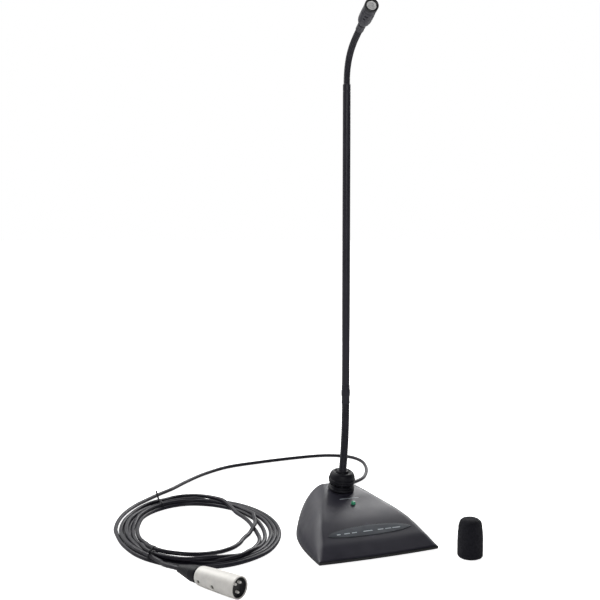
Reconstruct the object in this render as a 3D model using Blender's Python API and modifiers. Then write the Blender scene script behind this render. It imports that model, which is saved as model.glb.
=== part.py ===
"""Gooseneck podium microphone: desk base, flexible neck, microphone head, foam windscreen and wired lead.

Metres, +Z up. The origin is on the desk under the base, and the front of the base faces -Y.
Millimetre values are multiplied by MM where they are used.
"""

import math

import bmesh
import bpy
import numpy as np
from mathutils import Matrix, Vector

MM = 0.001
OBJECT_NAME = "gooseneck_podium_microphone"
GAP = 0.3

# Desk base, in millimetres. "Along" is the distance behind the front edge.
BASE_HALF_WIDTH = 60.4
BASE_DEPTH = 130.5
BASE_OUTLINE_POWER = 2.5
BASE_FRONT_Y = -65.0
BASE_FRONT_BOW = 2.2
SKIRT_Z = 4.3
EDGE_Z = 4.0
CREASE_ALONG = 13.0
WALL = 2.6
CROWN_HEIGHTS = ((13, 14.2), (40, 28.2), (62, 34.9), (84, 40.2), (105, 43.2), (130.5, 16.5))
CROWN_HALF_WIDTHS = ((0, 56), (13, 50), (30, 44), (60, 31), (84, 19), (105, 12), (130.5, 8))
SIDE_ROUNDNESS = ((0, 1.57), (60, 1.4), (100, 1.7), (130.5, 1.6))

# Underside
PAD_TOP = 1.0
PLATE_BOTTOM = 1.3
PLATE_TOP = 4.0
PLATE_SCREWS = ((-40, -45), (40, -45), (-25, 36), (25, 36))
BOSS_RADIUS = 4.0

# Circuit board
BOARD_SIZE = (60.0, 58.0, 1.6)
BOARD_CENTRE = (0.0, -22.0)
BOARD_BOTTOM = 7.0
BOARD_TOP = 8.6
BOARD_SCREWS = ((-24, -34), (24, -4))

# Mute key
KEY_CENTRE = (0.0, -43.8, 19.2)
KEY_TILT = math.radians(29.0)
KEY_HALF_WIDTH = 42.3
KEY_BACK_RISE = 7.3
KEY_FRONT_DROP = 4.8
KEY_THICKNESS = 2.0
KEY_PROUD = 0.35
KEY_CLEARANCE = 0.4

# Status light
LIGHT_CENTRE = (0.0, -6.1, 34.1)
LIGHT_TILT = math.radians(17.0)
LIGHT_RADIUS = 1.8

# Shock mount: local z runs up the tilted axis of the mount from its seat on the housing.
SEAT_CENTRE = (0.0, 22.5, 41.2)
MOUNT_TILT = math.radians(9.0)
SEAT_RADIUS = 13.0
SOCKET_RADIUS = 4.6

# Gooseneck
LOWER_RADIUS = 3.9
TUBE_RADIUS = 3.75
UPPER_RADIUS = 3.2
TUBE_Y = 12.5
LOWER_START = (0.0, 19.2, 61.3)
LOWER_HANDLES = ((0.0, 14.8, 82.0), (0.0, TUBE_Y, 108.0))
LOWER_END = (0.0, TUBE_Y, 130.0)
COUPLER_TOP = 148.0
TUBE_TOP = 438.0
UPPER_HEADING = math.radians(12.5)
UPPER_HANDLES = ((0.0, 463.0), (22.9, 470.5))
UPPER_END = (54.2, 477.4)
HINGES_PER_FLEX = 6
END_MARGIN = 1.5
LINK_GAP = 1.2
LINK_TIP = 1.2
LINK_TAPER = 1.6

# Cable
CORD_RADIUS = 2.0
GLAND_Z = 9.8
GLAND_TIP_Y = 90.0
COIL_CENTRE = (-134.3, 66.6)
COIL_HALF_SIZE = (78.0, 103.0)
COIL_TURN = math.radians(-6.6)
COIL_BOTTOM = 1.4
COIL_TOP = 12.0
COIL_INNER_SHARE = 0.75
TIE_ANGLES = (math.radians(113.0), math.radians(-136.0))
TIE_RADIUS = 0.5

# Plug: local z runs from the shell's back end to its open front.
PLUG_BACK = (-172.1, -62.0, 9.6)
PLUG_FRONT = (-147.6, -106.8, 9.6)
SHELL_RADIUS = 9.5
SHELL_BACK_RADIUS = 9.0
SHELL_BORE = 8.0
SHELL_LENGTH = 51.0
PIN_CIRCLE = 4.2
PLUG_SCREW_SPOTS = (8.5, 27.0)

# Foam windscreen
FOAM_CENTRE = (78.0, -91.8)
# Its side as (radius, height), from the top down to where it is widest.
FOAM_SIDE = ((0, 36.4), (4.5, 36.3), (7.4, 35.7), (9.3, 34.2), (10.3, 32.2), (10.9, 29), (11.5, 23), (11.8, 16))
FOAM_EDGE = 3.0
FOAM_BORE = 5.2
FOAM_BORE_DEPTH = 27.0

# The lead from the gland's tip to the coil, hand-placed points in millimetres.
LEAD_ROUTE = (
    (0.0, GLAND_TIP_Y + GAP, GLAND_Z),
    (0.3, 99.0, 9.9),
    (3.5, 112.0, 6.5),
    (12.0, 126.0, 3.0),
    (27.0, 140.0, 2.1),
    (48.0, 152.0, 2.1),
    (70.0, 163.0, 2.1),
    (88.5, 173.1, 2.1),
    (103.5, 186.0, 2.1),
    (118.9, 210.3, 2.1),
    (129.5, 236.0, 2.1),
    (134.5, 259.0, 2.1),
    (131.0, 281.0, 2.1),
    (116.0, 296.0, 2.1),
    (93.2, 304.0, 2.1),
    (55.9, 304.5, 2.1),
    (10.1, 300.5, 2.1),
    (-34.2, 292.5, 2.1),
    (-70.0, 272.0, 2.1),
    (-97.2, 248.5, 2.1),
    (-124.1, 220.7, 2.1),
    (-141.6, 205.9, 2.1),
    (-158.8, 189.7, 2.1),
    (-175.2, 173.0, 2.1),
    (-189.7, 153.0, 2.1),
    (-201.0, 131.0, 2.1),
    (-208.5, 109.0, 2.1),
    (-211.9, 90.5, 2.1),
)
# The last stretch leaves the coil and drops into the plug's boot.
TAIL_ROUTE = (
    (-192.3, -11.7, 5.6),
    (-191.2, -20.0, 5.9),
    (-189.2, -28.0, 7.0),
    (-186.2, -35.6, 8.7),
    (-182.9, -42.1, 9.6),
)


def clear_scene():
    for obj in list(bpy.data.objects):
        bpy.data.objects.remove(obj, do_unlink=True)


def new_collection(name):
    collection = bpy.data.collections.new(name)
    bpy.context.scene.collection.children.link(collection)
    return collection


clear_scene()
PARTS = new_collection(OBJECT_NAME)
CUTTERS = new_collection("cutters")


# ---------------------------------------------------------------- materials


def make_material(name, colour, roughness, metallic=0.0):
    material = bpy.data.materials.new(name)
    material.use_nodes = True
    shader = material.node_tree.nodes["Principled BSDF"]
    shader.inputs["Base Color"].default_value = (*colour, 1.0)
    shader.inputs["Roughness"].default_value = roughness
    shader.inputs["Metallic"].default_value = metallic
    return material


BLACK_PAINT = make_material("black_paint", (0.035, 0.035, 0.040), 0.45)
BLACK_STEEL = make_material("black_steel", (0.030, 0.030, 0.033), 0.50, 0.3)
RUBBER = make_material("black_rubber", (0.020, 0.020, 0.022), 0.70)
ZINC = make_material("zinc_screw", (0.55, 0.55, 0.56), 0.35, 1.0)
BRASS = make_material("brass", (0.70, 0.52, 0.25), 0.35, 1.0)
BOARD_GREEN = make_material("board_green", (0.02, 0.16, 0.07), 0.50)
DARK_PLASTIC = make_material("dark_plastic", (0.03, 0.03, 0.03), 0.50)
WHITE_PLASTIC = make_material("white_plastic", (0.75, 0.75, 0.72), 0.50)
KEY_BLUE = make_material("key_blue_grey", (0.10, 0.12, 0.15), 0.40)
GREEN_LENS = make_material("green_lens", (0.05, 0.60, 0.25), 0.20)
NECK_BLACK = make_material("neck_black", (0.030, 0.030, 0.034), 0.40, 0.2)
GRILLE_SILVER = make_material("grille_silver", (0.75, 0.75, 0.74), 0.35, 1.0)
FOAM = make_material("black_foam", (0.015, 0.015, 0.018), 0.95)
CORD = make_material("cord_jacket", (0.035, 0.035, 0.040), 0.50)
NICKEL = make_material("nickel", (0.78, 0.75, 0.70), 0.30, 1.0)


# ---------------------------------------------------------------- placing and shaping


def metres(point):
    return Vector(point) * MM


def along_axis(origin, axis):
    """World matrix whose local +Z is the axis and whose origin is the point, given in millimetres."""
    turn = Vector(axis).normalized().to_track_quat("Z", "Y").to_matrix().to_4x4()
    return Matrix.Translation(metres(origin)) @ turn


def tilted_forward(origin, angle):
    """World matrix with local +Z tipped towards -Y by the angle and local +X along world X."""
    return Matrix.Translation(metres(origin)) @ Matrix.Rotation(angle, 4, "X")


def finish_object(obj, material, smooth=True):
    obj.data.materials.clear()
    obj.data.materials.append(material)
    if smooth:
        obj.data.shade_smooth()
        obj.data.set_sharp_from_angle(angle=math.radians(32))
    return obj


def mesh_object(name, bm, matrix=None, collection=None):
    mesh = bpy.data.meshes.new(name)
    bm.to_mesh(mesh)
    bm.free()
    obj = bpy.data.objects.new(name, mesh)
    (collection or PARTS).objects.link(obj)
    obj.matrix_world = matrix or Matrix.Identity(4)
    return obj


def box(name, size, centre, material=None, matrix=None, collection=None, bevel=0.0):
    bm = bmesh.new()
    bmesh.ops.create_cube(bm, size=1.0)
    bmesh.ops.scale(bm, vec=metres(size), verts=bm.verts)
    bmesh.ops.translate(bm, vec=metres(centre), verts=bm.verts)
    obj = mesh_object(name, bm, matrix, collection)
    if bevel:
        add_bevel(obj, bevel)
    if material:
        finish_object(obj, material, smooth=False)
    return obj


def cylinder(name, radius, bottom, top, material=None, matrix=None, collection=None, sides=32, centre=(0, 0)):
    bm = bmesh.new()
    place = Matrix.Translation(metres((centre[0], centre[1], (bottom + top) / 2)))
    bmesh.ops.create_cone(
        bm,
        cap_ends=True,
        segments=sides,
        radius1=radius * MM,
        radius2=radius * MM,
        depth=(top - bottom) * MM,
        matrix=place,
    )
    obj = mesh_object(name, bm, matrix, collection)
    if material:
        finish_object(obj, material)
    return obj


def turned(name, profile, material=None, matrix=None, closed=False, steps=22, collection=None):
    """Screw a profile of (radius, height) pairs, in millimetres, that runs down its outer side."""
    bm = bmesh.new()
    points = [bm.verts.new(metres((radius, 0.0, height))) for radius, height in profile]
    for first, second in zip(points, points[1:]):
        bm.edges.new((first, second))
    if closed:
        bm.edges.new((points[-1], points[0]))
    obj = mesh_object(name, bm, matrix, collection)
    screw = obj.modifiers.new("turn", "SCREW")
    screw.axis = "Z"
    screw.steps = steps
    screw.render_steps = steps
    screw.use_merge_vertices = True
    screw.merge_threshold = 0.00001
    screw.use_smooth_shade = True
    if material:
        obj.data.materials.append(material)
    return obj


def add_bevel(obj, width, segments=2, angle=30):
    bevel = obj.modifiers.new("edges", "BEVEL")
    bevel.width = width * MM
    bevel.segments = segments
    bevel.limit_method = "ANGLE"
    bevel.angle_limit = math.radians(angle)
    return bevel


def add_boolean(obj, other, operation="DIFFERENCE"):
    boolean = obj.modifiers.new(operation.lower(), "BOOLEAN")
    boolean.operation = operation
    boolean.solver = "EXACT"
    boolean.object = other
    other.hide_render = True
    other.display_type = "WIRE"


def curve_to_mesh(obj, collection):
    """Swap a curve object for a mesh object of the same shape with its caps welded on."""
    graph = bpy.context.evaluated_depsgraph_get()
    mesh = bpy.data.meshes.new_from_object(obj.evaluated_get(graph))
    bm = bmesh.new()
    bm.from_mesh(mesh)
    bmesh.ops.remove_doubles(bm, verts=bm.verts, dist=0.000001)
    bm.to_mesh(mesh)
    bm.free()
    name = obj.name
    matrix = obj.matrix_world.copy()
    bpy.data.objects.remove(obj, do_unlink=True)
    made = bpy.data.objects.new(name, mesh)
    collection.objects.link(made)
    made.matrix_world = matrix
    return made


def flat_plate(name, outline, bottom, top, material=None, matrix=None, collection=None):
    """A flat outline of (x, y) points, in millimetres, filled and given thickness."""
    curve = bpy.data.curves.new(name, "CURVE")
    curve.dimensions = "2D"
    curve.fill_mode = "BOTH"
    curve.extrude = (top - bottom) / 2 * MM
    spline = curve.splines.new("POLY")
    spline.points.add(len(outline) - 1)
    for point, (x, y) in zip(spline.points, outline):
        point.co = (x * MM, y * MM, 0.0, 1.0)
    spline.use_cyclic_u = True
    obj = bpy.data.objects.new(name, curve)
    (collection or PARTS).objects.link(obj)
    base = matrix or Matrix.Identity(4)
    obj.matrix_world = base @ Matrix.Translation(metres((0, 0, (bottom + top) / 2)))
    bpy.context.view_layer.update()
    made = curve_to_mesh(obj, collection or PARTS)
    if material:
        finish_object(made, material)
    return made


def tube(name, points, radius, material, radii=None, resolution=4, cyclic=False):
    """A round tube along points in millimetres; radii scales it at each point."""
    curve = bpy.data.curves.new(name, "CURVE")
    curve.dimensions = "3D"
    curve.bevel_depth = radius * MM
    curve.bevel_resolution = resolution
    curve.use_fill_caps = not cyclic
    spline = curve.splines.new("POLY")
    spline.points.add(len(points) - 1)
    spline.use_cyclic_u = cyclic
    spline.use_smooth = True
    for index, place in enumerate(points):
        spline.points[index].co = (*metres(place), 1.0)
        spline.points[index].radius = radii[index] if radii else 1.0
    obj = bpy.data.objects.new(name, curve)
    PARTS.objects.link(obj)
    curve.materials.append(material)
    return obj


# ---------------------------------------------------------------- curves worked out from a few points


def eased(stations, position):
    """Smooth curve through (position, value) stations that never overshoots them."""
    places = [station[0] for station in stations]
    values = [station[1] for station in stations]
    slopes = [(values[i + 1] - values[i]) / (places[i + 1] - places[i]) for i in range(len(places) - 1)]
    tangents = [slopes[0]]
    for before, after in zip(slopes, slopes[1:]):
        tangents.append(0.0 if before * after <= 0 else 2 * before * after / (before + after))
    tangents.append(slopes[-1])
    position = min(max(position, places[0]), places[-1])
    index = max(i for i in range(len(places) - 1) if places[i] <= position)
    width = places[index + 1] - places[index]
    t = (position - places[index]) / width
    start = (1 + 2 * t) * (1 - t) ** 2 * values[index] + t * (1 - t) ** 2 * width * tangents[index]
    end = t * t * (3 - 2 * t) * values[index + 1] + t * t * (t - 1) * width * tangents[index + 1]
    return start + end


def bezier(start, handles, end, count=200):
    t = np.linspace(0.0, 1.0, count)[:, None]
    a, b, c, d = (np.array(point, float) for point in (start, *handles, end))
    return (1 - t) ** 3 * a + 3 * (1 - t) ** 2 * t * b + 3 * (1 - t) * t * t * c + t**3 * d


def smooth_through(route, samples=24):
    """Catmull-Rom curve through the route's points."""
    knots = np.array(route, float)
    knots = np.vstack([2 * knots[0] - knots[1], knots, 2 * knots[-1] - knots[-2]])
    t = np.linspace(0.0, 1.0, samples, endpoint=False)[:, None]
    made = []
    for p0, p1, p2, p3 in zip(knots, knots[1:], knots[2:], knots[3:]):
        cubic = 3 * p1 - p0 - 3 * p2 + p3
        square = 2 * p0 - 5 * p1 + 4 * p2 - p3
        made.append(p1 + 0.5 * ((p2 - p0) * t + square * t * t + cubic * t**3))
    return np.vstack([*made, knots[-2:-1]])


def arc_lengths(path):
    return np.concatenate([[0.0], np.cumsum(np.linalg.norm(np.diff(path, axis=0), axis=1))])


def at_length(path, distance):
    lengths = arc_lengths(path)
    return np.array([np.interp(distance, lengths, path[:, axis]) for axis in range(3)])


def heading(path, distance, step=0.5):
    ahead = at_length(path, distance + step) - at_length(path, distance - step)
    return ahead / np.linalg.norm(ahead)


def stretch(path, start, end, spacing):
    count = max(2, int(round((end - start) / spacing)) + 1)
    return [tuple(at_length(path, distance)) for distance in np.linspace(start, end, count)]


# ---------------------------------------------------------------- desk base


def half_width(along, inset=0.0):
    share = min(max(along / BASE_DEPTH, 0.0), 1.0)
    return max(BASE_HALF_WIDTH * (1 - share**BASE_OUTLINE_POWER) ** 0.5 - inset, 0.0)


def front_bow(x, along):
    """How far the gently curved front edge stands ahead of its corners."""
    return BASE_FRONT_BOW * (1 - (x / BASE_HALF_WIDTH) ** 2) * min(max(1 - along / 40, 0.0), 1.0)


def crown_height(along):
    if along < CREASE_ALONG:
        return EDGE_Z + (CROWN_HEIGHTS[0][1] - EDGE_Z) * along / CREASE_ALONG
    return eased(CROWN_HEIGHTS, along)


def housing_point(along, across):
    """A point on the outer skin; across runs from -1 on the left edge to 1 on the right edge."""
    width = half_width(along)
    crown = min(eased(CROWN_HALF_WIDTHS, along), 0.92 * width)
    height = crown_height(along)
    share = abs(across)
    if share < 0.4:
        x = crown * share / 0.4
        z = height
    else:
        drop = (share - 0.4) / 0.6
        roundness = eased(SIDE_ROUNDNESS, along)
        x = crown + (width - crown) * drop
        z = EDGE_Z + (height - EDGE_Z) * max(1 - drop**roundness, 0.0) ** (1 / roundness)
    x = math.copysign(x, across)
    return (x, BASE_FRONT_Y + along - front_bow(x, along), z)


def loft_rows(rows, columns):
    """Closed solid under the skin: a loft of cross-sections with a flat bottom below the skirt."""
    front_rows = [0.0, 4.5, 9.0, CREASE_ALONG - 0.7, CREASE_ALONG + 0.7]
    rear = BASE_DEPTH - front_rows[-1]
    alongs = front_rows + [BASE_DEPTH - rear * (1 - i / rows) ** 1.8 for i in range(1, rows + 1)]
    bm = bmesh.new()
    grid = []
    for along in alongs:
        top = [housing_point(along, -1 + 2 * i / columns) for i in range(columns + 1)]
        floor = [(x, y, 0.0) for x, y, _ in reversed(top)]
        grid.append([bm.verts.new(metres(point)) for point in top + floor])
    count = len(grid[0])
    for near, far in zip(grid, grid[1:]):
        for i in range(count):
            bm.faces.new((near[i], near[(i + 1) % count], far[(i + 1) % count], far[i]))
    bm.faces.new(grid[0][::-1])
    bm.faces.new(grid[-1])
    bmesh.ops.remove_doubles(bm, verts=bm.verts, dist=0.00002)
    bmesh.ops.dissolve_degenerate(bm, edges=bm.edges, dist=0.00002)
    bmesh.ops.recalc_face_normals(bm, faces=bm.faces)
    return bm


def plan_outline(inset, count=18):
    """The base's outline in plan, as (x, y) points in millimetres, pulled in by the inset."""
    rear_reach = BASE_DEPTH - inset
    right = []
    for i in range(count + 1):
        along = inset + (rear_reach - inset) * math.sin(math.pi / 2 * i / count)
        share = (along - inset) / (rear_reach - inset)
        width = (BASE_HALF_WIDTH - inset) * (1 - share**BASE_OUTLINE_POWER) ** 0.5
        right.append((width, BASE_FRONT_Y + along - front_bow(width, along)))
    left = [(-x, y) for x, y in reversed(right[:-1])]
    front = [(x, BASE_FRONT_Y + inset - front_bow(x, inset)) for x in np.linspace(-45, 45, 7)]
    return right + left + front


def lens_outline(grow=0.0, count=14):
    """The mute key's lens outline about its own centre: two arcs that meet in rounded tips."""
    reach = KEY_HALF_WIDTH + grow
    back = [
        (reach * math.cos(math.pi * i / count), (KEY_BACK_RISE + grow) * math.sin(math.pi * i / count) ** 1.3)
        for i in range(count)
    ]
    front = [
        (-reach * math.cos(math.pi * i / count), -(KEY_FRONT_DROP + grow) * math.sin(math.pi * i / count) ** 1.3)
        for i in range(count)
    ]
    return back + front


def mount_frame():
    return tilted_forward(SEAT_CENTRE, MOUNT_TILT)


def key_frame():
    return tilted_forward(KEY_CENTRE, KEY_TILT)


def light_frame():
    return tilted_forward(LIGHT_CENTRE, LIGHT_TILT)


def make_cavity():
    """The hollow under the housing: the outer shape drawn in by the wall, less the screw bosses and seat."""
    cavity = mesh_object("cavity_cutter", loft_rows(9, 12), collection=CUTTERS)
    shrink = (
        (BASE_HALF_WIDTH - WALL) / BASE_HALF_WIDTH,
        (BASE_DEPTH - 2 * WALL) / BASE_DEPTH,
        (crown_height(90) - WALL) / crown_height(90),
    )
    middle = metres((0, BASE_FRONT_Y + BASE_DEPTH / 2, 0))
    for vertex in cavity.data.vertices:
        offset = vertex.co - middle
        vertex.co = middle + Vector((offset.x * shrink[0], offset.y * shrink[1], offset.z * shrink[2]))
    for number, (x, y) in enumerate(PLATE_SCREWS, 1):
        boss = cylinder(f"boss_{number}", BOSS_RADIUS, -5, 60, collection=CUTTERS, sides=24, centre=(x, y))
        add_boolean(cavity, boss)
    nut_space = cylinder("nut_space", 10.2, -18.0, -2.0, matrix=mount_frame(), collection=CUTTERS)
    add_boolean(cavity, nut_space, "UNION")
    seat = cylinder("seat_back", 11.0, -3.0, 14.0, matrix=mount_frame(), collection=CUTTERS)
    add_boolean(cavity, seat)
    return cavity


def make_housing():
    housing = mesh_object("housing_shell", loft_rows(15, 24))
    finish_object(housing, BLACK_PAINT)
    seat = cylinder("seat_pad", SEAT_RADIUS, -8.0, 0.0, matrix=mount_frame(), collection=CUTTERS)
    add_boolean(housing, seat, "UNION")
    add_boolean(housing, make_cavity())
    below = box("below_skirt", (200, 200, 20), (0, 0, SKIRT_Z - 10), collection=CUTTERS)
    add_boolean(housing, below)
    outline = lens_outline(KEY_CLEARANCE)
    add_boolean(housing, flat_plate("key_window", outline, -6, 4, matrix=key_frame(), collection=CUTTERS))
    add_boolean(housing, cylinder("neck_hole", 5.6, -12, 6, matrix=mount_frame(), collection=CUTTERS))
    light_hole = cylinder("light_hole", LIGHT_RADIUS + GAP, -8, 4, matrix=light_frame(), collection=CUTTERS)
    add_boolean(housing, light_hole)
    gland_axis = along_axis((0, 0, GLAND_Z), (0, 1, 0))
    add_boolean(housing, cylinder("gland_hole", 4.2, 50, 80, matrix=gland_axis, collection=CUTTERS))
    for number, (x, y) in enumerate(PLATE_SCREWS, 1):
        pilot = cylinder(f"pilot_{number}", 1.7, -2, 11.5, collection=CUTTERS, sides=16, centre=(x, y))
        add_boolean(housing, pilot)


def make_underside():
    plate = flat_plate("base_plate", plan_outline(0.0), PLATE_BOTTOM, PLATE_TOP, BLACK_STEEL)
    pad = flat_plate("rubber_foot_pad", plan_outline(4.0, 14), 0.0, PAD_TOP, RUBBER)
    for number, (x, y) in enumerate(PLATE_SCREWS, 1):
        spot = {"collection": CUTTERS, "centre": (x, y), "sides": 24}
        add_boolean(plate, cylinder(f"plate_hole_{number}", 1.8, 0, 8, **spot))
        add_boolean(plate, cylinder(f"plate_sink_{number}", 3.2, 0, 2.9, **spot))
        add_boolean(pad, cylinder(f"pad_hole_{number}", 4.2, -2, 4, **spot))
        profile = ((0, 11), (1.35, 11), (1.35, 2.6), (2.8, 2.6), (2.8, 1.6), (2.3, 1.3), (0, 1.3))
        turned(f"plate_screw_{number}", profile, ZINC, Matrix.Translation(metres((x, y, 0))), steps=16)


def make_board():
    board = box("circuit_board", BOARD_SIZE, (*BOARD_CENTRE, (BOARD_BOTTOM + BOARD_TOP) / 2), BOARD_GREEN)
    for number, (x, y) in enumerate(BOARD_SCREWS, 1):
        hole = cylinder(f"board_hole_{number}", 1.6, 0, 20, collection=CUTTERS, centre=(x, y), sides=20)
        add_boolean(board, hole)
        place = Matrix.Translation(metres((x, y, 0)))
        ring = ((1.6, 6.7), (2.8, 6.7), (2.8, 4.3), (1.6, 4.3))
        turned(f"board_spacer_{number}", ring, BRASS, place, closed=True, steps=16)
        screw = ((0, 10.3), (1.6, 10.3), (2.6, 9.6), (2.6, 8.9), (1.25, 8.9), (1.25, 4.5), (0, 4.5))
        turned(f"board_screw_{number}", screw, ZINC, place, steps=16)
    low = BOARD_TOP + GAP
    switch = box("tactile_switch", (6.2, 6.2, 3.0), (0, -42.6, low + 1.5), DARK_PLASTIC)
    add_boolean(switch, cylinder("switch_well", 2.0, 10.0, 16, collection=CUTTERS, centre=(0, -42.6)))
    cylinder("switch_plunger", 1.6, 10.8, 13.9, WHITE_PLASTIC, centre=(0, -42.6), sides=24)
    dips = box("dip_switch_block", (7, 6, 4), (18, -20, low + 2), DARK_PLASTIC)
    for number, x in enumerate((16.4, 19.6), 1):
        slot = box(f"dip_slot_{number}", (2.0, 4.2, 4.0), (x, -20, 13.7), collection=CUTTERS)
        add_boolean(dips, slot)
        box(f"dip_lever_{number}", (1.4, 1.6, 1.9), (x, -20.9, 12.95), WHITE_PLASTIC, bevel=0.15)
    box("lead_socket", (10, 6, 6), (-14, 1.0, low + 3), WHITE_PLASTIC, bevel=0.3)


def make_key_and_light():
    low = KEY_PROUD - KEY_THICKNESS
    key = flat_plate("mute_key", lens_outline(), low, KEY_PROUD, KEY_BLUE, key_frame())
    stem = cylinder("key_stem", 1.8, -4.6, low + 0.5, matrix=key_frame(), collection=CUTTERS, sides=24)
    add_boolean(key, stem, "UNION")
    dome = ((0, 1.1), (0.9, 0.85), (1.5, 0.4), (LIGHT_RADIUS, -0.2), (LIGHT_RADIUS, -7.0), (0, -7.0))
    turned("indicator_lens", dome, GREEN_LENS, light_frame(), steps=20)
    lamp = ((0, -7.3), (1.0, -7.5), (1.5, -8.2), (1.5, -11.0), (1.8, -11.0), (1.8, -12.0), (1.0, -12.0), (1.0, -24.0))
    turned("status_lamp", (*lamp, (0, -24.0)), WHITE_PLASTIC, light_frame(), steps=16)


def make_cable_entry():
    back = BASE_FRONT_Y + BASE_DEPTH
    gland_axis = along_axis((0, 0, GLAND_Z), (0, 1, 0))
    profile = (
        (0, GLAND_TIP_Y),
        (2.7, GLAND_TIP_Y),
        (3.0, GLAND_TIP_Y - 1),
        (4.3, back + 4),
        (5.4, back + 2.4),
        (5.4, back + 0.5),
        (3.8, back + 0.5),
        (3.8, back - 4.6),
        (4.8, back - 4.6),
        (4.8, back - 6.6),
        (0, back - 6.6),
    )
    turned("cable_gland", profile, RUBBER, gland_axis, steps=22)
    start = (0.0, back - 6.6 - GAP, GLAND_Z)
    route = (start, (0.0, 52.0, GLAND_Z), (-4.0, 38.0, 10.0), (-12.0, 22.0, 10.8), (-14.0, 10.0, 11.9), (-14.0, 4.3, 11.9))
    path = smooth_through(route)
    tube("inner_lead", stretch(path, 0, arc_lengths(path)[-1], 6), CORD_RADIUS, CORD, resolution=2)
    clamp = box("cable_clamp", (12, 6, 9.5), (0, 52.6, 4.3 + 4.75), DARK_PLASTIC)
    bore = cylinder("clamp_bore", 2.5, 45, 60, matrix=gland_axis, collection=CUTTERS, sides=20)
    add_boolean(clamp, bore)


def make_shock_mount():
    frame = mount_frame()
    washer = ((5.2, -3.3), (9.0, -3.3), (9.0, -4.2), (5.2, -4.2))
    turned("mount_washer", washer, ZINC, frame, closed=True)
    nut = ((5.7, -4.5), (7.8, -4.5), (8.6, -5.1), (8.6, -7.9), (7.8, -8.5), (5.7, -8.5))
    turned("mount_nut", nut, BRASS, frame, closed=True, steps=6)
    flange = (
        (5.0, 6.2),
        (11.6, 6.2),
        (12.3, 5.2),
        (12.3, 4.4),
        (11.7, 3.9),
        (12.6, 3.2),
        (12.9, 1.6),
        (12.4, GAP),
        (5.0, GAP),
    )
    turned("shock_mount_flange", flange, RUBBER, frame, closed=True, steps=26)
    boot = (
        (4.3, 22.0),
        (6.0, 22.0),
        (6.5, 21.2),
        (6.7, 20.0),
        (8.8, 19.3),
        (10.9, 17.6),
        (12.3, 15.2),
        (12.8, 13.2),
        (12.3, 12.6),
        (13.2, 12.0),
        (13.3, 10.6),
        (12.4, 9.9),
        (12.9, 9.3),
        (12.5, 8.4),
        (10.6, 8.0),
        (10.6, 6.5),
        (5.0, 6.5),
        (5.0, 19.4),
        (4.3, 20.0),
    )
    turned("shock_mount_boot", boot, RUBBER, frame, closed=True, steps=26)


# ---------------------------------------------------------------- gooseneck


def lower_path():
    return bezier(LOWER_START, LOWER_HANDLES, LOWER_END)


def bend_plane_point(reach, height):
    """A point in the upright plane in which the upper flex bends forward."""
    return (-math.sin(UPPER_HEADING) * reach, TUBE_Y - math.cos(UPPER_HEADING) * reach, height)


def upper_path():
    points = [bend_plane_point(*pair) for pair in ((0.0, TUBE_TOP), *UPPER_HANDLES, UPPER_END)]
    return bezier(points[0], points[1:3], points[3])


def hinge_distances(path):
    length = arc_lengths(path)[-1]
    return list(np.linspace(END_MARGIN, length - END_MARGIN, HINGES_PER_FLEX))


def make_links(prefix, path, radius):
    """The hose as short links that meet at their tapered tips, one between each two hinges."""
    hinges = hinge_distances(path)
    for number, (low, high) in enumerate(zip(hinges, hinges[1:]), 1):
        start = low + LINK_GAP / 2
        end = high - LINK_GAP / 2
        middle = np.linspace(start + LINK_TAPER, end - LINK_TAPER, 5)
        distances = [start, *middle, end]
        radii = [LINK_TIP / radius, 1, 1, 1, 1, 1, LINK_TIP / radius]
        points = [tuple(at_length(path, distance)) for distance in distances]
        tube(f"{prefix}_{number}", points, radius, NECK_BLACK, radii, resolution=3)


def make_neck():
    lower = lower_path()
    upper = upper_path()
    lower_hinges = hinge_distances(lower)
    upper_hinges = hinge_distances(upper)
    make_links("lower_flex", lower, LOWER_RADIUS)
    make_links("upper_flex", upper, UPPER_RADIUS)
    make_socket(lower, lower_hinges[0] - LINK_GAP / 2)
    bottom = lower_hinges[-1] + LINK_GAP / 2
    coupler_low = at_length(lower, bottom)[2]
    coupler = (
        (0, COUPLER_TOP),
        (3.7, COUPLER_TOP),
        (4.0, COUPLER_TOP - 0.8),
        (4.0, 143.5),
        (4.3, 142.8),
        (4.3, 137.5),
        (4.0, 136.6),
        (4.0, coupler_low + LINK_TAPER),
        (LINK_TIP, coupler_low),
        (0, coupler_low),
    )
    turned("coupler", coupler, NECK_BLACK, Matrix.Translation(metres((0, TUBE_Y, 0))))
    tube_top = at_length(upper, upper_hinges[0] - LINK_GAP / 2)[2]
    rigid = (
        (0, tube_top),
        (LINK_TIP, tube_top),
        (TUBE_RADIUS - 0.3, tube_top - LINK_TAPER),
        (TUBE_RADIUS, tube_top - LINK_TAPER - 0.5),
        (TUBE_RADIUS, COUPLER_TOP + GAP),
        (0, COUPLER_TOP + GAP),
    )
    turned("rigid_tube", rigid, NECK_BLACK, Matrix.Translation(metres((0, TUBE_Y, 0))))
    make_head(at_length(upper, upper_hinges[-1] + LINK_GAP / 2), heading(upper, upper_hinges[-1]))


def make_socket(path, tip_distance):
    """The neck's threaded metal end, from inside the housing to the first hinge."""
    start = Vector(at_length(path, tip_distance))
    to_local = mount_frame().inverted()
    top = (to_local @ (start * MM)).z / MM
    profile = (
        (0, top),
        (LINK_TIP, top),
        (LOWER_RADIUS, top - LINK_TAPER),
        (LOWER_RADIUS, 19.0),
        (SOCKET_RADIUS, 18.4),
        (SOCKET_RADIUS, -13.0),
        (0, -13.0),
    )
    turned("gooseneck_socket", profile, NICKEL, mount_frame())


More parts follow.
